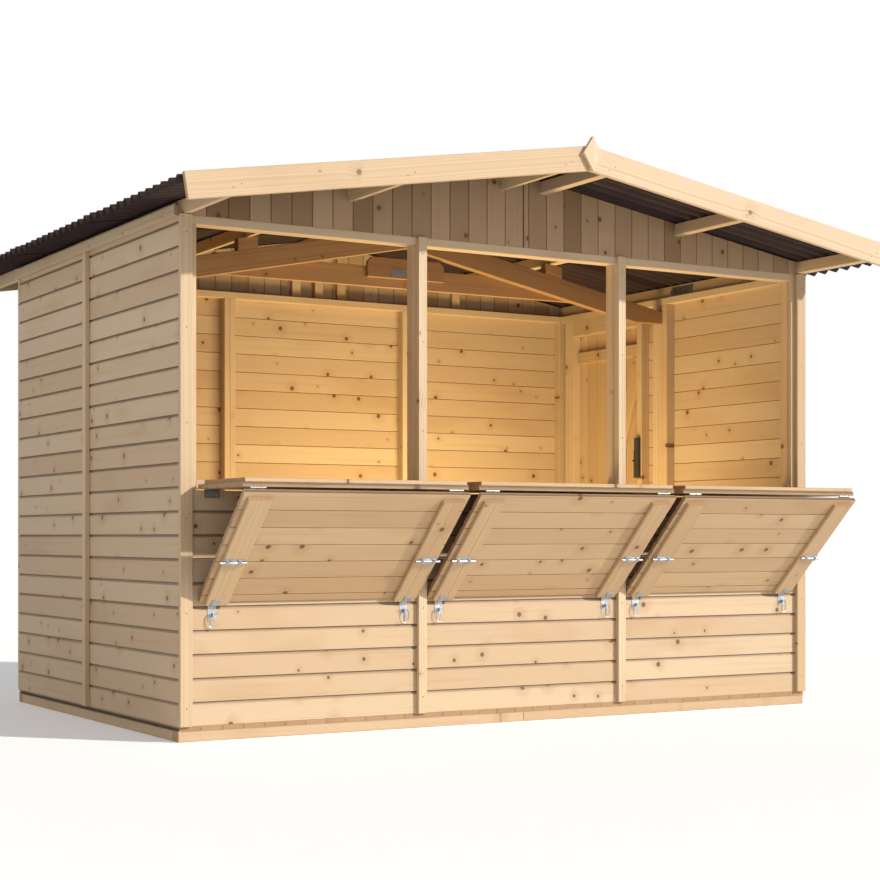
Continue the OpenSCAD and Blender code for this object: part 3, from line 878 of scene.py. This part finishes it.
@dataclass
class Workshop:
    """The CAD frame, the finishes and the pieces made so far."""

    nodes: dict[str, bpy.types.Object]
    joints: dict[str, dict[str, Any]]
    materials: dict[Stuff, bpy.types.Material] = field(default_factory=dict)
    made: int = 0

    def material(self, stuff: Stuff) -> bpy.types.Material:
        """Gives the material for a stuff, built once."""
        if stuff not in self.materials:
            self.materials[stuff] = FINISHES[stuff].material()
        return self.materials[stuff]

    def draft(self) -> Draft:
        """Starts a piece with a seed of its own."""
        self.made += 1
        return Draft(7100 + self.made)

    def fit(
        self, draft: Draft, name: str, stuff: Stuff, body: str = ROOT, replaces: Sequence[str] = ()
    ) -> bpy.types.Object:
        """Turns a draft into a piece of the stall.

        Args:
            draft: The finished draft.
            name: The piece's name.
            stuff: What it is made of.
            body: The CAD body it moves with.
            replaces: CAD nodes that it stands for.

        Returns:
            The new object.
        """
        piece = bpy.data.objects.new(name, draft.mesh(name))
        bpy.context.scene.collection.objects.link(piece)
        piece.data.materials.append(self.material(stuff))
        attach(piece, body)
        if replaces:
            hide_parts(*replaces)
        LOG.info("%s: %d faces of %s", name, len(draft.faces), stuff.value)
        return piece

    def keep(self, name: str, stuff: Stuff) -> None:
        """Shows a CAD node as it is, with a finish of its own.

        Args:
            name: The CAD node.
            stuff: What it is made of.
        """
        node = self.nodes[name]
        node.data.materials.clear()
        node.data.materials.append(self.material(stuff))
        LOG.info("%s: CAD node in %s", name, stuff.value)

    def timbers(
        self, names: Sequence[str], piece: str, stuff: Stuff, body: str = ROOT, ease: float = 0.0015
    ) -> None:
        """Rebuilds the timbers of some CAD nodes as one piece with eased edges.

        Args:
            names: The CAD nodes.
            piece: Name of the new piece.
            stuff: What it is made of.
            body: The CAD body it moves with.
            ease: Width taken off each edge.
        """
        draft = self.draft()
        draft.timbers([self.nodes[n] for n in names], ease)
        self.fit(draft, piece, stuff, body, names)


# ---------------------------------------------------------------- base and walls


@dataclass
class Ground:
    """Beams on the ground, joists and the floor."""

    shop: Workshop
    floor_pitch: float = 0.0914

    def build(self) -> None:
        """Makes the beams, the joists and the floor boards."""
        self.shop.timbers(["base_beams"], "ground_beams", Stuff.BASE, ease=0.002)
        self.shop.timbers(["base_joists"], "ground_joists", Stuff.BASE, ease=0.002)
        low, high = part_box("floor_boards")
        lay = Lay(Vector((0, 0, low.z)), -Y, X)
        draft = self.shop.draft()
        draft.boarding(
            lay, rebated_board, high.z - low.z, self.floor_pitch, (low.x, high.x), -high.y, -low.y
        )
        self.shop.fit(draft, "floor_planks", Stuff.BASE, replaces=["floor_boards"])


@dataclass
class Walls:
    """Horizontal shiplap boarding on the four walls, nailed at every stud."""

    shop: Workshop
    pitch: float = 0.0934
    front_joint: float = 0.515
    side_joint: float = 0.025
    back_joint: float = 0.522
    joint_gap: float = 0.0004
    nail_in: float = 0.036
    nail_up: float = 0.28
    nail_wobble: float = 0.004

    def build(self) -> None:
        """Makes the boarding of each wall and its nails."""
        front, side, back = self.front_joint, self.side_joint, self.back_joint
        right = ["right_cladding_front", "right_cladding_rear", "right_cladding_over_door"]
        self.wall("front", X, (-front, front), ["front_cladding"])
        self.wall("left", -Y, (-side,), ["left_cladding"])
        self.wall("back", -X, (-back, back), ["back_cladding"])
        self.wall("right", Y, (side,), right)

    def wall(self, name: str, along: Vector, joints: Sequence[float], nodes: Sequence[str]) -> None:
        """Makes one wall's boards and nails.

        Args:
            name: Which wall it is.
            along: Direction of its boards, to the right for someone outside.
            joints: Where the boarding is jointed along the wall.
            nodes: CAD nodes that the boards stand for.
        """
        out = along.cross(Z)
        inner, outer = reach_of(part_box(nodes[0]), out)
        lay = Lay(inner * out, along, Z)
        boards, nails = self.shop.draft(), self.shop.draft()
        for node in nodes:
            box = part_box(node)
            start, end = reach_of(box, along)
            cuts = [j + gap for j in joints for gap in (-self.joint_gap, self.joint_gap) if start < j < end]
            edges = [start, *cuts, end]
            band = (box[0].z, box[1].z)
            for a, b in zip(edges[::2], edges[1::2]):
                count = boards.boarding(lay, shiplap, outer - inner, self.pitch, band, a, b)
                heights = [band[0] + (i + self.nail_up) * self.pitch for i in range(count)]
                for height in [h for h in heights if h < band[1] - 0.01]:
                    for s in (a + self.nail_in, b - self.nail_in):
                        s += boards.rng.uniform(-self.nail_wobble, self.nail_wobble)
                        nails.screw(lay.at(s, height, outer - inner), out, Head.BOARD_NAIL)
        self.shop.fit(boards, f"{name}_wall_boards", Stuff.WALL, replaces=nodes)
        self.shop.fit(nails, f"{name}_wall_nails", Stuff.IRON)


@dataclass
class Framing:
    """Posts, mullions, studs and rails inside the walls, and the trims outside."""

    shop: Workshop
    groups: dict[str, str] = field(
        default_factory=lambda: {
            "corner_posts": "corner_post_timbers",
            "mullions": "mullion_timbers",
            "wall_studs": "stud_timbers",
            "bottom_rails": "bottom_rail_timbers",
            "top_rails": "top_rail_timbers",
            "sill_rail": "sill_timbers",
            "door_head": "door_head_timber",
            "corner_trims": "corner_trim_timbers",
            "cover_strips": "cover_strip_timbers",
            "eave_strips": "eave_strip_timbers",
        }
    )
    screw_gap: float = 0.42
    screw_in: float = 0.07

    def build(self) -> None:
        """Makes each group of timbers, then the screws in the outer trims."""
        for node, piece in self.groups.items():
            self.shop.timbers([node], piece, Stuff.FRAMING)
        draft = self.shop.draft()
        for name in ("corner_trims", "cover_strips"):
            for solid in solids_of(self.shop.nodes[name]):
                points = [v.co for v in solid.verts]
                low, high = (Vector(ends) for ends in zip(*(reach_of(points, axis) for axis in (X, Y, Z))))
                middle = (low + high) / 2
                flat = X if high.x - low.x < high.y - low.y else Y
                out = flat if middle.dot(flat) > 0 else -flat
                face = max(low.dot(out), high.dot(out))
                count = round((high.z - low.z) / self.screw_gap)
                for i in range(count + 1):
                    z = low.z + self.screw_in + (high.z - low.z - 2 * self.screw_in) * i / count
                    at = Vector((middle.x, middle.y, z))
                    draft.screw(at + (face - at.dot(out)) * out, out, Head.TRIM_SCREW)
                solid.free()
        self.shop.fit(draft, "trim_screws", Stuff.IRON)


# ---------------------------------------------------------------- gables and roof


@dataclass
class RoofLine:
    """Where the underside of the roof sheets runs."""

    fall: float = 0.162
    gable_gap: float = 0.001
    gable_joint: float = 0.003

    def __post_init__(self) -> None:
        """Finds the ridge from the front gable."""
        self.pitch = math.atan(self.fall)
        self.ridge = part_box("gable_front")[1].z + self.gable_gap + self.fall * self.gable_joint / 2

    def under(self, x: float) -> float:
        """Height of the sheets' underside at x."""
        return self.ridge - abs(x) * self.fall

    def on_slope(self, side: int, down: float, y: float, lift: float) -> Vector:
        """Gives the point down a slope (side 1 is the right one), at y, lifted off the underside."""
        cos, sin = math.cos(self.pitch), math.sin(self.pitch)
        return Vector((side * (down * cos + lift * sin), y, self.ridge - down * sin + lift * cos))


@dataclass
class Gables:
    """Upright matched boards above the walls, with cleats behind them."""

    shop: Workshop
    line: RoofLine
    pitch: float = 0.0925
    # Painted shade: the front gable's boards are darkened to stand in for the shade under the roof overhang;
    # the back ones are not
    front_painted_shade_tone: float = 0.95

    def build(self) -> None:
        """Makes both gables and the cleats."""

        def top(a: float) -> float:
            """Gives the upper end of the boards at a place across."""
            return self.line.under(a) - self.line.gable_gap

        for name, across, age in (("gable_front", -X, self.front_painted_shade_tone), ("gable_back", X, 0.0)):
            low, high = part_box(name)
            inner = high.y if name == "gable_front" else low.y
            lay = Lay(Vector((0, inner, 0)), Z, across)
            draft = self.shop.draft()
            half = self.line.gable_joint / 2
            # Painted shade for this gable's boards
            draft.age = age
            for band in ((-high.x, -half), (half, high.x)):
                draft.boarding(lay, vee_board, high.y - low.y, self.pitch, band, low.z, top)
            self.shop.fit(draft, name + "_boards", Stuff.WALL, replaces=[name])
        self.shop.timbers(["gable_cleats"], "gable_cleat_timbers", Stuff.FRAMING)


@dataclass
class Truss:
    """The rafters and tie in the middle of the room, nailed together."""

    shop: Workshop
    plate_size: tuple[float, float] = (0.083, 0.038)
    plate_low: tuple[float, float] = (-0.089, 2.045)
    plate_screws: tuple[float, ...] = (0.012, -0.012)

    def build(self) -> None:
        """Makes the truss timbers and the plates that hold them."""
        shop = self.shop
        shop.timbers(["truss_rafters"], "rafter_timbers", Stuff.TRUSS, ease=0.0025)
        shop.timbers(["truss_tie", "tie_splice"], "tie_timbers", Stuff.TRUSS, ease=0.0025)
        shop.timbers(["truss_packers"], "packer_timbers", Stuff.TRUSS)
        shop.timbers(["purlins"], "purlin_timbers", Stuff.FRAMING, ease=0.002)
        draft = shop.draft()
        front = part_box("tie_splice")[0].y
        lay = Lay(Vector((self.plate_low[0], front, self.plate_low[1])), X, Z)
        draft.holed_plate(lay, self.plate_size, 0.0012, 0.0104, 0.0022)
        shop.fit(draft, "splice_nail_plate", Stuff.ZINC)
        self.purlin_plates()

    def purlin_plates(self) -> None:
        """Makes the perforated plates on the eave purlins, each with four screws."""
        draft = self.shop.draft()
        for solid in solids_of(self.shop.nodes["purlin_plates"]):
            points = [v.co.copy() for v in solid.verts]
            side = 1 if points[0].x > 0 else -1
            faces = sorted(solid.faces, key=lambda f: -f.calc_area())
            out = faces[0].normal if faces[0].normal.x * side < 0 else faces[1].normal
            up = out.cross(Y) if out.cross(Y).z > 0 else Y.cross(out)
            along = Y if Y.cross(up).dot(out) > 0 else -Y
            low, high = zip(*(reach_of(points, way) for way in (along, up, out)))
            length, width, thick = (b - a for a, b in zip(low, high))
            lay = Lay(low[0] * along + low[1] * up + low[2] * out, along, up)
            draft.holed_plate(lay, (length, width), thick, 0.0133, 0.0026)
            for s in self.plate_screws:
                for a in (0.01, 0.03):
                    draft.screw(lay.at(s % length, a, thick), out, Head.PLATE_SCREW)
            solid.free()
        self.shop.fit(draft, "purlin_nail_plates", Stuff.ZINC, replaces=["purlin_plates"])


@dataclass
class Roof:
    """Corrugated sheets with side laps, the ridge cap, nails and barge boards."""

    shop: Workshop
    line: RoofLine
    waves: int = 39
    sheets: int = 3
    wave_steps: int = 14
    wave_h: float = 0.033
    sheet_t: float = 0.004
    lap_lift: float = 0.0042
    cap_l: float = 0.15
    cap_lengths: int = 3
    purlins: tuple[float, ...] = (0.108, 0.845, 1.575)
    nail_gap: int = 3
    nail_r: float = 0.008
    # Share of the radius and height over the sheet, from the cap's foot to its top
    nail_cap: tuple[tuple[float, float], ...] = (
        (1.0, -0.002),
        (1.0, 0.001),
        (0.85, 0.003),
        (0.5, 0.0045),
        (0.15, 0.005),
    )

    def __post_init__(self) -> None:
        """Finds how far the sheets reach along the ridge and down the slope."""
        self.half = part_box("roof_sheet_right")[1].y
        self.wave_l = 2 * self.half / self.waves
        self.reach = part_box("barge_boards")[1].x / math.cos(self.line.pitch)
        self.near = self.wave_h * math.tan(self.line.pitch) + 0.002

    def build(self) -> None:
        """Makes the sheets, the cap, the nails and the boards along the gable edges."""
        for side, name in ((-1, "left"), (1, "right")):
            self.slope(side, name)
        self.ridge_cap()
        self.shop.timbers(["barge_boards"], "barge_board_timbers", Stuff.FRAMING, ease=0.002)
        draft = self.shop.draft()
        draft.timbers([self.shop.nodes["finials"]], 0.002, Z)
        self.shop.fit(draft, "finial_timbers", Stuff.FRAMING, replaces=["finials"])
        self.barge_screws()

    def wave(self, y: float) -> float:
        """Height of a sheet's lower face over the roof's underside."""
        turn = 2 * math.pi * (y + self.half) / self.wave_l + math.pi / 8
        return (self.wave_h - self.sheet_t) * (0.5 - 0.5 * math.cos(turn))

    def crests(self, first: int) -> list[float]:
        """Gives where along the ridge the nailed waves have their crests."""
        return [(w + 7 / 16) * self.wave_l - self.half for w in range(first, self.waves, self.nail_gap)]

    def slope(self, side: int, name: str) -> None:
        """Makes one slope's sheets and their nails.

        Args:
            side: 1 for the right slope, -1 for the left.
            name: Name of the side.
        """
        draft, caps = self.shop.draft(), self.shop.draft()
        per = self.waves // self.sheets
        rows = [self.near, self.near + 0.6, self.reach - 0.6, self.reach]
        n = 2 * len(rows)
        for k in range(self.sheets):
            start = k * per
            end = start + per + (0.6 if k < self.sheets - 1 else 0.0)
            count = round((end - start) * self.wave_steps)
            first = len(draft.points)
            for i in range(count + 1):
                turn = start + (end - start) * i / count
                y = turn * self.wave_l - self.half
                lift = self.lap_lift * float(np.clip((turn - start - per + 0.9) / 0.4, 0, 1))
                for down in rows:
                    for top in (0.0, self.sheet_t):
                        draft.points.append(self.line.on_slope(side, down, y, self.wave(y) + top + lift))
            for i in range(count):
                a, b = first + i * n, first + (i + 1) * n
                for r in range(0, n - 2, 2):
                    draft.face((a + r, b + r, b + r + 2, a + r + 2), smooth=True)
                    draft.face((a + r + 1, a + r + 3, b + r + 3, b + r + 1), smooth=True)
                draft.face((a, a + 1, b + 1, b))
                draft.face((a + n - 2, b + n - 2, b + n - 1, a + n - 1))
            for a in (first, first + count * n):
                for r in range(0, n - 2, 2):
                    draft.face((a + r, a + r + 2, a + r + 3, a + r + 1))
        # The first purlin is nailed through the ridge cap
        for x in self.purlins[1:]:
            self.nail_row(caps, side, x / math.cos(self.line.pitch), self.wave_h, 1)
        self.shop.fit(draft, f"roof_sheets_{name}", Stuff.SHEET, replaces=[f"roof_sheet_{name}"])
        self.shop.fit(caps, f"roof_nail_caps_{name}", Stuff.SHEET)

    def nail_row(self, draft: Draft, side: int, down: float, lift: float, first: int) -> None:
        """Adds a row of roofing nails' domed caps, each on a wave's crest.

        Args:
            draft: Draft that they go into.
            side: 1 for the right slope, -1 for the left.
            down: Distance from the ridge along the slope.
            lift: Height over the underside of the sheets.
            first: First wave that is nailed.
        """
        tilt = Vector((side * math.sin(self.line.pitch), 0, math.cos(self.line.pitch)))
        for y in self.crests(first):
            draft.knob(self.line.on_slope(side, down, y, lift), tilt, self.nail_r, self.nail_cap)

    def ridge_cap(self) -> None:
        """Makes the bent cap over the ridge in three lengths that lap."""
        draft = self.shop.draft()
        cos = math.cos(self.line.pitch)
        reach = self.cap_l * cos
        rise = (self.wave_h + 0.0003) / cos
        places = [reach * s for s in (-1, -0.96, -0.9, -0.5, -0.06, -0.02, 0, 0.02, 0.06, 0.5, 0.9, 0.96, 1)]
        # The fold is rounded over 4 mm, and both long edges curl down
        folds = [self.line.under(math.hypot(x, 0.004)) + rise for x in places]
        tops = [z - (0.002 if abs(x) > 0.97 * reach else 0.0) for x, z in zip(places, folds)]
        length = 2 * self.half / self.cap_lengths
        for k in range(self.cap_lengths):
            lap, lift = (0.08, self.lap_lift) if k < self.cap_lengths - 1 else (0.0, 0.0)
            y0 = -self.half + k * length
            y1 = y0 + length + lap
            rings = []
            for y, up in ((y0, 0.0), (y1 - 0.12, 0.0), (y1 - 0.085, lift), (y1, lift)):
                lower = [Vector((x, y, z + up)) for x, z in zip(places, tops)]
                rings.append([p + self.sheet_t * Z for p in lower] + lower[::-1])
            draft.ring_strip(rings, False)
        for side in (-1, 1):
            self.nail_row(draft, side, self.purlins[0], self.wave_h + self.sheet_t + 0.0005, 0)
        self.shop.fit(draft, "ridge_cap_lengths", Stuff.SHEET, replaces=["ridge_cap"])

    def barge_screws(self) -> None:
        """Makes the screws that hold the barge boards to the purlin ends."""
        draft = self.shop.draft()
        low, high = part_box("barge_boards")
        for y, out in ((low.y, -Y), (high.y, Y)):
            for side in (-1, 1):
                for x in self.purlins:
                    for step in (-0.008, 0.008):
                        z = self.line.under(x) - 0.03 + step
                        draft.screw(Vector((side * x + 2 * step, y, z)), out, Head.BARGE_SCREW)
        self.shop.fit(draft, "barge_screws", Stuff.IRON)


# ---------------------------------------------------------------- hatches


@dataclass
class HatchPair:
    """A counter leaf hinged at the sill and the prop leaf hinged to its outer edge."""

    shop: Workshop
    hatch: Hatch
    leaf_w: float = 0.98
    leaf_in_w: float = 0.962
    leaf_t: float = 0.018
    top_t: float = 0.016
    counter_l: float = 0.42
    gap: float = 0.005
    axis_off: float = 0.003
    pitch: float = 0.0934
    slope: float = 44.548
    prop_l: float = 0.602
    batten_w: float = 0.095
    batten_t: float = 0.018
    batten_in: float = 0.07
    batten_start: float = 0.028
    top_start: float = 0.045
    set_back: float = 0.0025
    iron_x: float = 0.43
    strap: Triple = (0.036, 0.034, 0.002)
    top_count: int = 4
    top_gap: float = 0.0006

    def __post_init__(self) -> None:
        """Finds the two hinge lines and the lays of both leaves."""
        key = self.hatch.value
        self.sill = Vector(self.shop.joints[f"counter_{key}_fold"]["pos_m"])
        self.nose = Vector(self.shop.joints[f"prop_{key}_fold"]["pos_m"])
        self.counter_body = f"counter_{key}_leaf"
        self.prop_body = f"prop_{key}_leaf"
        a = math.radians(self.slope)
        self.down = Vector((0, math.cos(a), -math.sin(a)))
        skin = self.axis_off + self.leaf_t
        self.counter_lay = Lay(self.sill + Z * skin, X, -Y)
        self.prop_lay = Lay(self.nose - X.cross(self.down) * skin, X, self.down)

    def build(self) -> None:
        """Makes both leaves and gives their CAD hinges and bolts a finish."""
        self.counter()
        self.prop()
        self.shop.keep(f"counter_hinges_{self.hatch.value}", Stuff.ZINC)
        self.shop.keep(f"prop_ironwork_{self.hatch.value}", Stuff.ZINC)

    def leaf(self, draft: Draft, lay: Lay, start: float, length: float) -> None:
        """Adds a leaf's shiplap boards, from a start off the hinge line over a length."""
        half = self.leaf_w / 2
        draft.boarding(lay, shiplap, self.leaf_t, self.pitch, (start, start + length), -half, half)

    def counter(self) -> None:
        """Makes the counter's boards and its planed top."""
        key = self.hatch.value
        draft = self.shop.draft()
        self.leaf(draft, self.counter_lay, self.axis_off, self.counter_l - self.set_back)
        end = self.axis_off + self.counter_l
        top_lay = self.counter_lay.lifted(0, 0, -self.top_t)
        half = self.leaf_in_w / 2
        width = (end - self.top_start) / self.top_count
        for i in range(self.top_count):
            at = top_lay.lifted(-half, self.top_start + i * width + self.top_gap / 2, 0)
            draft.bar(at, (2 * half, width - self.top_gap, self.top_t), 0.0022)
        self.shop.fit(
            draft, f"counter_boards_{key}", Stuff.HATCH, self.counter_body, [f"counter_{key}"]
        )

    def prop(self) -> None:
        """Makes the prop's boards, its two battens with their screws, and the foot straps."""
        key = self.hatch.value
        draft, screws, straps = self.shop.draft(), self.shop.draft(), self.shop.draft()
        self.leaf(draft, self.prop_lay, self.gap / 2 + self.set_back, self.prop_l - self.set_back)
        inner = self.prop_lay.lifted(0, 0, -self.batten_t)
        for side in (-1, 1):
            x = side * (self.leaf_w / 2 - self.batten_in)
            # Batten along the leaf: its own lay turned a quarter
            corner = inner.at(x + self.batten_w / 2, self.gap / 2 + self.batten_start, 0)
            lay = Lay(corner, self.down, -X)
            size = (self.prop_l - self.batten_start, self.batten_w, self.batten_t)
            draft.bar(lay, size, 0.003)
            for i in range(int(self.prop_l / self.pitch) + 1):
                for shift in (-0.025, 0.025):
                    a = self.gap / 2 + (i + 0.4) * self.pitch
                    if a < self.prop_l:
                        at = self.prop_lay.at(x + shift, a, self.leaf_t)
                        screws.screw(at, self.prop_lay.through, Head.BATTEN_SCREW)
            # Strap of the hasp, let over the batten's foot
            foot = inner.lifted(side * self.iron_x - self.strap[0] / 2, self.gap / 2 + self.prop_l, 0)
            straps.bar(foot.lifted(0, -self.strap[1], -self.strap[2]), self.strap, 0.0005)
            for shift in (-0.009, 0.009):
                at = foot.at(self.strap[0] / 2 + shift, -self.strap[1] / 2, -self.strap[2])
                straps.screw(at, -self.prop_lay.through, Head.STRAP_SCREW)
        self.shop.fit(draft, f"prop_boards_{key}", Stuff.HATCH, self.prop_body, [f"prop_{key}"])
        self.shop.fit(screws, f"prop_screws_{key}", Stuff.ZINC, self.prop_body)
        self.shop.fit(straps, f"foot_straps_{key}", Stuff.ZINC, self.prop_body)


@dataclass
class FixedIron:
    """Ironwork on the walls: hinge plates, hasps with their pins, and the door's keep."""

    shop: Workshop
    hatches: Sequence[HatchPair]
    plate_drop: float = 0.0183
    plate_t: float = 0.002
    pin_turns: int = 28
    bow_turns: int = 12

    def build(self) -> None:
        """Dresses the CAD plates and adds screws, pins and wires."""
        self.shop.keep("hinge_plates", Stuff.ZINC)
        self.shop.keep("foot_hasps", Stuff.ZINC)
        self.shop.keep("door_keep", Stuff.IRON)
        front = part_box("front_cladding")[0].y
        low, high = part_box("foot_hasps")
        draft, wires = self.shop.draft(), self.shop.draft()
        for hatch in self.hatches:
            for side in (-1, 1):
                x = hatch.sill.x + side * hatch.iron_x
                for step in (-0.021, 0.021):
                    at = Vector((x + step, front - self.plate_t, hatch.sill.z - self.plate_drop))
                    draft.screw(at, -Y, Head.HINGE_SCREW)
                for step, z in ((-0.01, high.z - 0.03), (0.01, high.z - 0.03), (0.0, low.z + 0.008)):
                    at = Vector((x + step, front - self.plate_t, z))
                    draft.screw(at, -Y, Head.HASP_SCREW)
                self.pin(wires, Vector((x, front - 0.013, low.z + 0.021)), side)
        self.shop.fit(draft, "plate_screws", Stuff.ZINC)
        self.shop.fit(wires, "hasp_pins", Stuff.ZINC)

    def pin(self, draft: Draft, at: Vector, side: int) -> None:
        """Adds a spring pin through a staple and the wire ring it hangs from.

        Args:
            draft: Draft that they go into.
            at: Middle of the staple's eye.
            side: Which way the pin leans.
        """
        ring = []
        for k in range(self.pin_turns):
            cos, sin = (f(2 * math.pi * k / self.pin_turns) for f in (math.cos, math.sin))
            x = side * 0.006 + 0.011 * sin * (1 + 0.25 * cos)
            ring.append(at + Vector((x, -0.002 * cos, -0.024 + 0.026 * cos)))
        draft.rod(ring, 0.0011, 6, True)
        # Through the eye, round the bow, and back to the bent end
        bow = [(-0.022, 0, 0.004), (0.012, 0, 0.003)]
        for k in range(self.bow_turns):
            cos, sin = (f(math.pi * k / (self.bow_turns - 1)) for f in (math.cos, math.sin))
            bow.append((0.012 + 0.009 * sin, -0.001, -0.022 + 0.025 * cos))
        bow += [(-0.006, -0.003, -0.052), (-0.016, -0.003, -0.036)]
        draft.rod([at + Vector((side * x, y, z)) for x, y, z in bow], 0.0013, 6)


# ---------------------------------------------------------------- door


@dataclass
class Door:
    """The ledged and braced side door with its straps and lock."""

    shop: Workshop
    body: str = "door"
    board_count: int = 7
    strap_half_w: float = 0.02
    strap_t: float = 0.003
    bolt_in: float = 0.285
    bolt_gap: float = 0.062
    bolts: int = 5
    screw_up: float = 0.026
    spindle_up: float = 0.62

    def build(self) -> None:
        """Makes the boards, the ledges and the ironwork."""
        low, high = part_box("door_leaf")
        width = high.y - low.y
        draft = self.shop.draft()
        lay = Lay(Vector((low.x, 0, 0)), -Z, Y)
        draft.boarding(
            lay, vee_board, high.x - low.x, width / self.board_count, (low.y, high.y), -high.z, -low.z
        )
        self.shop.fit(draft, "door_boards", Stuff.HATCH, self.body, ["door_leaf"])
        self.shop.timbers(["door_ledges"], "door_ledge_timbers", Stuff.HATCH, self.body, 0.003)
        self.shop.keep("door_hinge_straps", Stuff.IRON)
        self.lock()
        screws = self.shop.draft()
        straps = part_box("door_hinge_straps")
        for z in (straps[0].z + self.strap_half_w, straps[1].z - self.strap_half_w):
            for i in range(self.bolts):
                y = high.y - self.bolt_in + self.bolt_gap * i
                screws.screw(Vector((high.x + self.strap_t, y, z)), X, Head.DOOR_BOLT)
            for i in range(self.board_count):
                y = low.y + width * (i + 0.5) / self.board_count
                screws.screw(Vector((high.x, y, z + self.screw_up)), X, Head.LEDGE_SCREW)
        self.shop.fit(screws, "door_screws", Stuff.IRON, self.body)

    def lock(self) -> None:
        """Makes the lock case with its eased edges, spindle, keyhole plate and screws."""
        low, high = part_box("door_lock")
        draft = self.shop.draft()
        size = (high.z - low.z, high.y - low.y, high.x - low.x)
        draft.bar(Lay(Vector((high.x, low.y, low.z)), Z, Y), size, 0.004)
        middle = Vector((low.x, (low.y + high.y) / 2, low.z + self.spindle_up * size[0]))
        draft.rod([middle, middle - 0.008 * X], 0.011, 16)
        draft.rod([middle - 0.008 * X, middle - 0.02 * X], 0.006, 12)
        for z in (low.z + 0.012, high.z - 0.012):
            draft.screw(Vector((low.x, middle.y, z)), -X, Head.LOCK_SCREW)
        self.shop.fit(draft, "lock_case", Stuff.IRON, self.body, ["door_lock"])


# ---------------------------------------------------------------- studio


@dataclass(frozen=True)
class RoomLamp:
    """A soft square lamp indoors: watts, side, where it hangs, and the way back towards it."""

    name: str
    power: float
    size: float
    at: Triple
    back: Triple


@dataclass
class Studio:
    """A pale floor, a soft bright horizon, one low sun, two lamps indoors and the camera."""

    eye: Triple = (-4.266, -7.476, 0.799)
    heading: float = -30.7
    lens: float = 73.16
    shift: float = 0.1096
    sun_from: Triple = (0.62, -0.70, 0.43)
    sun_power: float = 4.15
    sun_width: float = 1.2
    horizon_power: float = 1.0
    zenith_power: float = 0.22
    sky_band: tuple[float, float] = (0.32, 0.6)
    floor_glow: float = 0.2
    floor_reach: float = 60.0
    # One warm lamp low on the right, and one facing up
    room_lamps: tuple[RoomLamp, ...] = (
        RoomLamp("room_bounce", 38.0, 0.7, (0.75, -0.2, 0.3), (0.3, -0.42, -0.85)),
        RoomLamp("floor_bounce", 31.0, 0.9, (-0.1, -0.3, 0.3), (0.0, -0.3, -1.0)),
    )

    def build(self) -> None:
        """Makes the floor, the lights and the camera."""
        bpy.context.scene.view_settings.view_transform = "Standard"
        self.floor()
        self.sky()
        sun = bpy.data.lights.new("low_sun", "SUN")
        sun.energy = self.sun_power
        sun.angle = math.radians(self.sun_width)
        sun.color = linear("#FFFAF4")[:3]
        self.hang(sun, Vector((0, 0, 5)), Vector(self.sun_from))
        for lamp in self.room_lamps:
            light = bpy.data.lights.new(lamp.name, "AREA")
            light.energy = lamp.power
            light.size = lamp.size
            light.color = linear("#FFE4A8")[:3]
            self.hang(light, Vector(lamp.at), Vector(lamp.back)).visible_camera = False
        self.camera()

    def hang(self, light: bpy.types.Light, at: Vector, back: Vector) -> bpy.types.Object:
        """Puts a light in the scene.

        Args:
            light: The light.
            at: Where it hangs.
            back: Direction from what it lights towards the light.

        Returns:
            The object that carries the light.
        """
        lamp = bpy.data.objects.new(light.name, light)
        lamp.location = at
        lamp.rotation_euler = back.to_track_quat("Z", "Y").to_euler()
        bpy.context.scene.collection.objects.link(lamp)
        return lamp

    def sky(self) -> None:
        """Makes the surroundings: a bright band at the horizon, dimmer overhead."""
        world = bpy.data.worlds.new("soft_sky")
        world.use_nodes = True
        world.node_tree.nodes.clear()
        add = partial(add_node, world.node_tree)
        height = add("SeparateXYZ", add("TexCoord")["Generated"])["Z"]
        powers = self.horizon_power, self.zenith_power
        power = add("MapRange", height, *self.sky_band, *powers, interpolation_type="SMOOTHSTEP")[0]
        add("OutputWorld", add("Background", linear("#FFFFFF"), power)[0])
        bpy.context.scene.world = world

    def floor(self) -> None:
        """Makes the pale floor under the stall."""
        mesh = bpy.data.meshes.new("studio_floor")
        far = self.floor_reach
        mesh.from_pydata([(-far, -far, 0), (far, -far, 0), (far, far, 0), (-far, far, 0)], [], [(0, 1, 2, 3)])
        made, add = blank_material("studio_paint_matt_white")
        paint = {
            "Base Color": linear("#F4F4F4"),
            "Roughness": 0.9,
            "Emission Color": linear("#F8FAFF"),
            "Emission Strength": self.floor_glow,
        }
        add("OutputMaterial", add("BsdfPrincipled", paint)["BSDF"])
        mesh.materials.append(made)
        floor = bpy.data.objects.new("studio_floor", mesh)
        floor.location.z = -0.001
        bpy.context.scene.collection.objects.link(floor)

    def camera(self) -> None:
        """Makes the camera: level, with its lens shifted up to keep uprights parallel."""
        data = bpy.data.cameras.new("level_camera")
        data.lens = self.lens
        data.shift_y = self.shift
        camera = bpy.data.objects.new("level_camera", data)
        camera.location = self.eye
        camera.rotation_euler = (math.pi / 2, 0, math.radians(self.heading))
        bpy.context.scene.collection.objects.link(camera)
        bpy.context.scene.camera = camera


def main() -> None:
    """Builds the stall's assemblies in order."""
    logging.basicConfig(level=logging.INFO, format="%(name)s: %(message)s")
    for old in list(bpy.data.objects):
        bpy.data.objects.remove(old)
    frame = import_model()
    shop = Workshop(frame["nodes"], {j["name"]: j for j in frame["joints"]})
    line = RoofLine()
    hatches = [HatchPair(shop, hatch) for hatch in Hatch]
    for part in (
        Ground(shop),
        Walls(shop),
        Framing(shop),
        Gables(shop, line),
        Truss(shop),
        Roof(shop, line),
        *hatches,
        FixedIron(shop, hatches),
        Door(shop),
        Studio(),
    ):
        part.build()


if __name__ == "__main__":
    main()
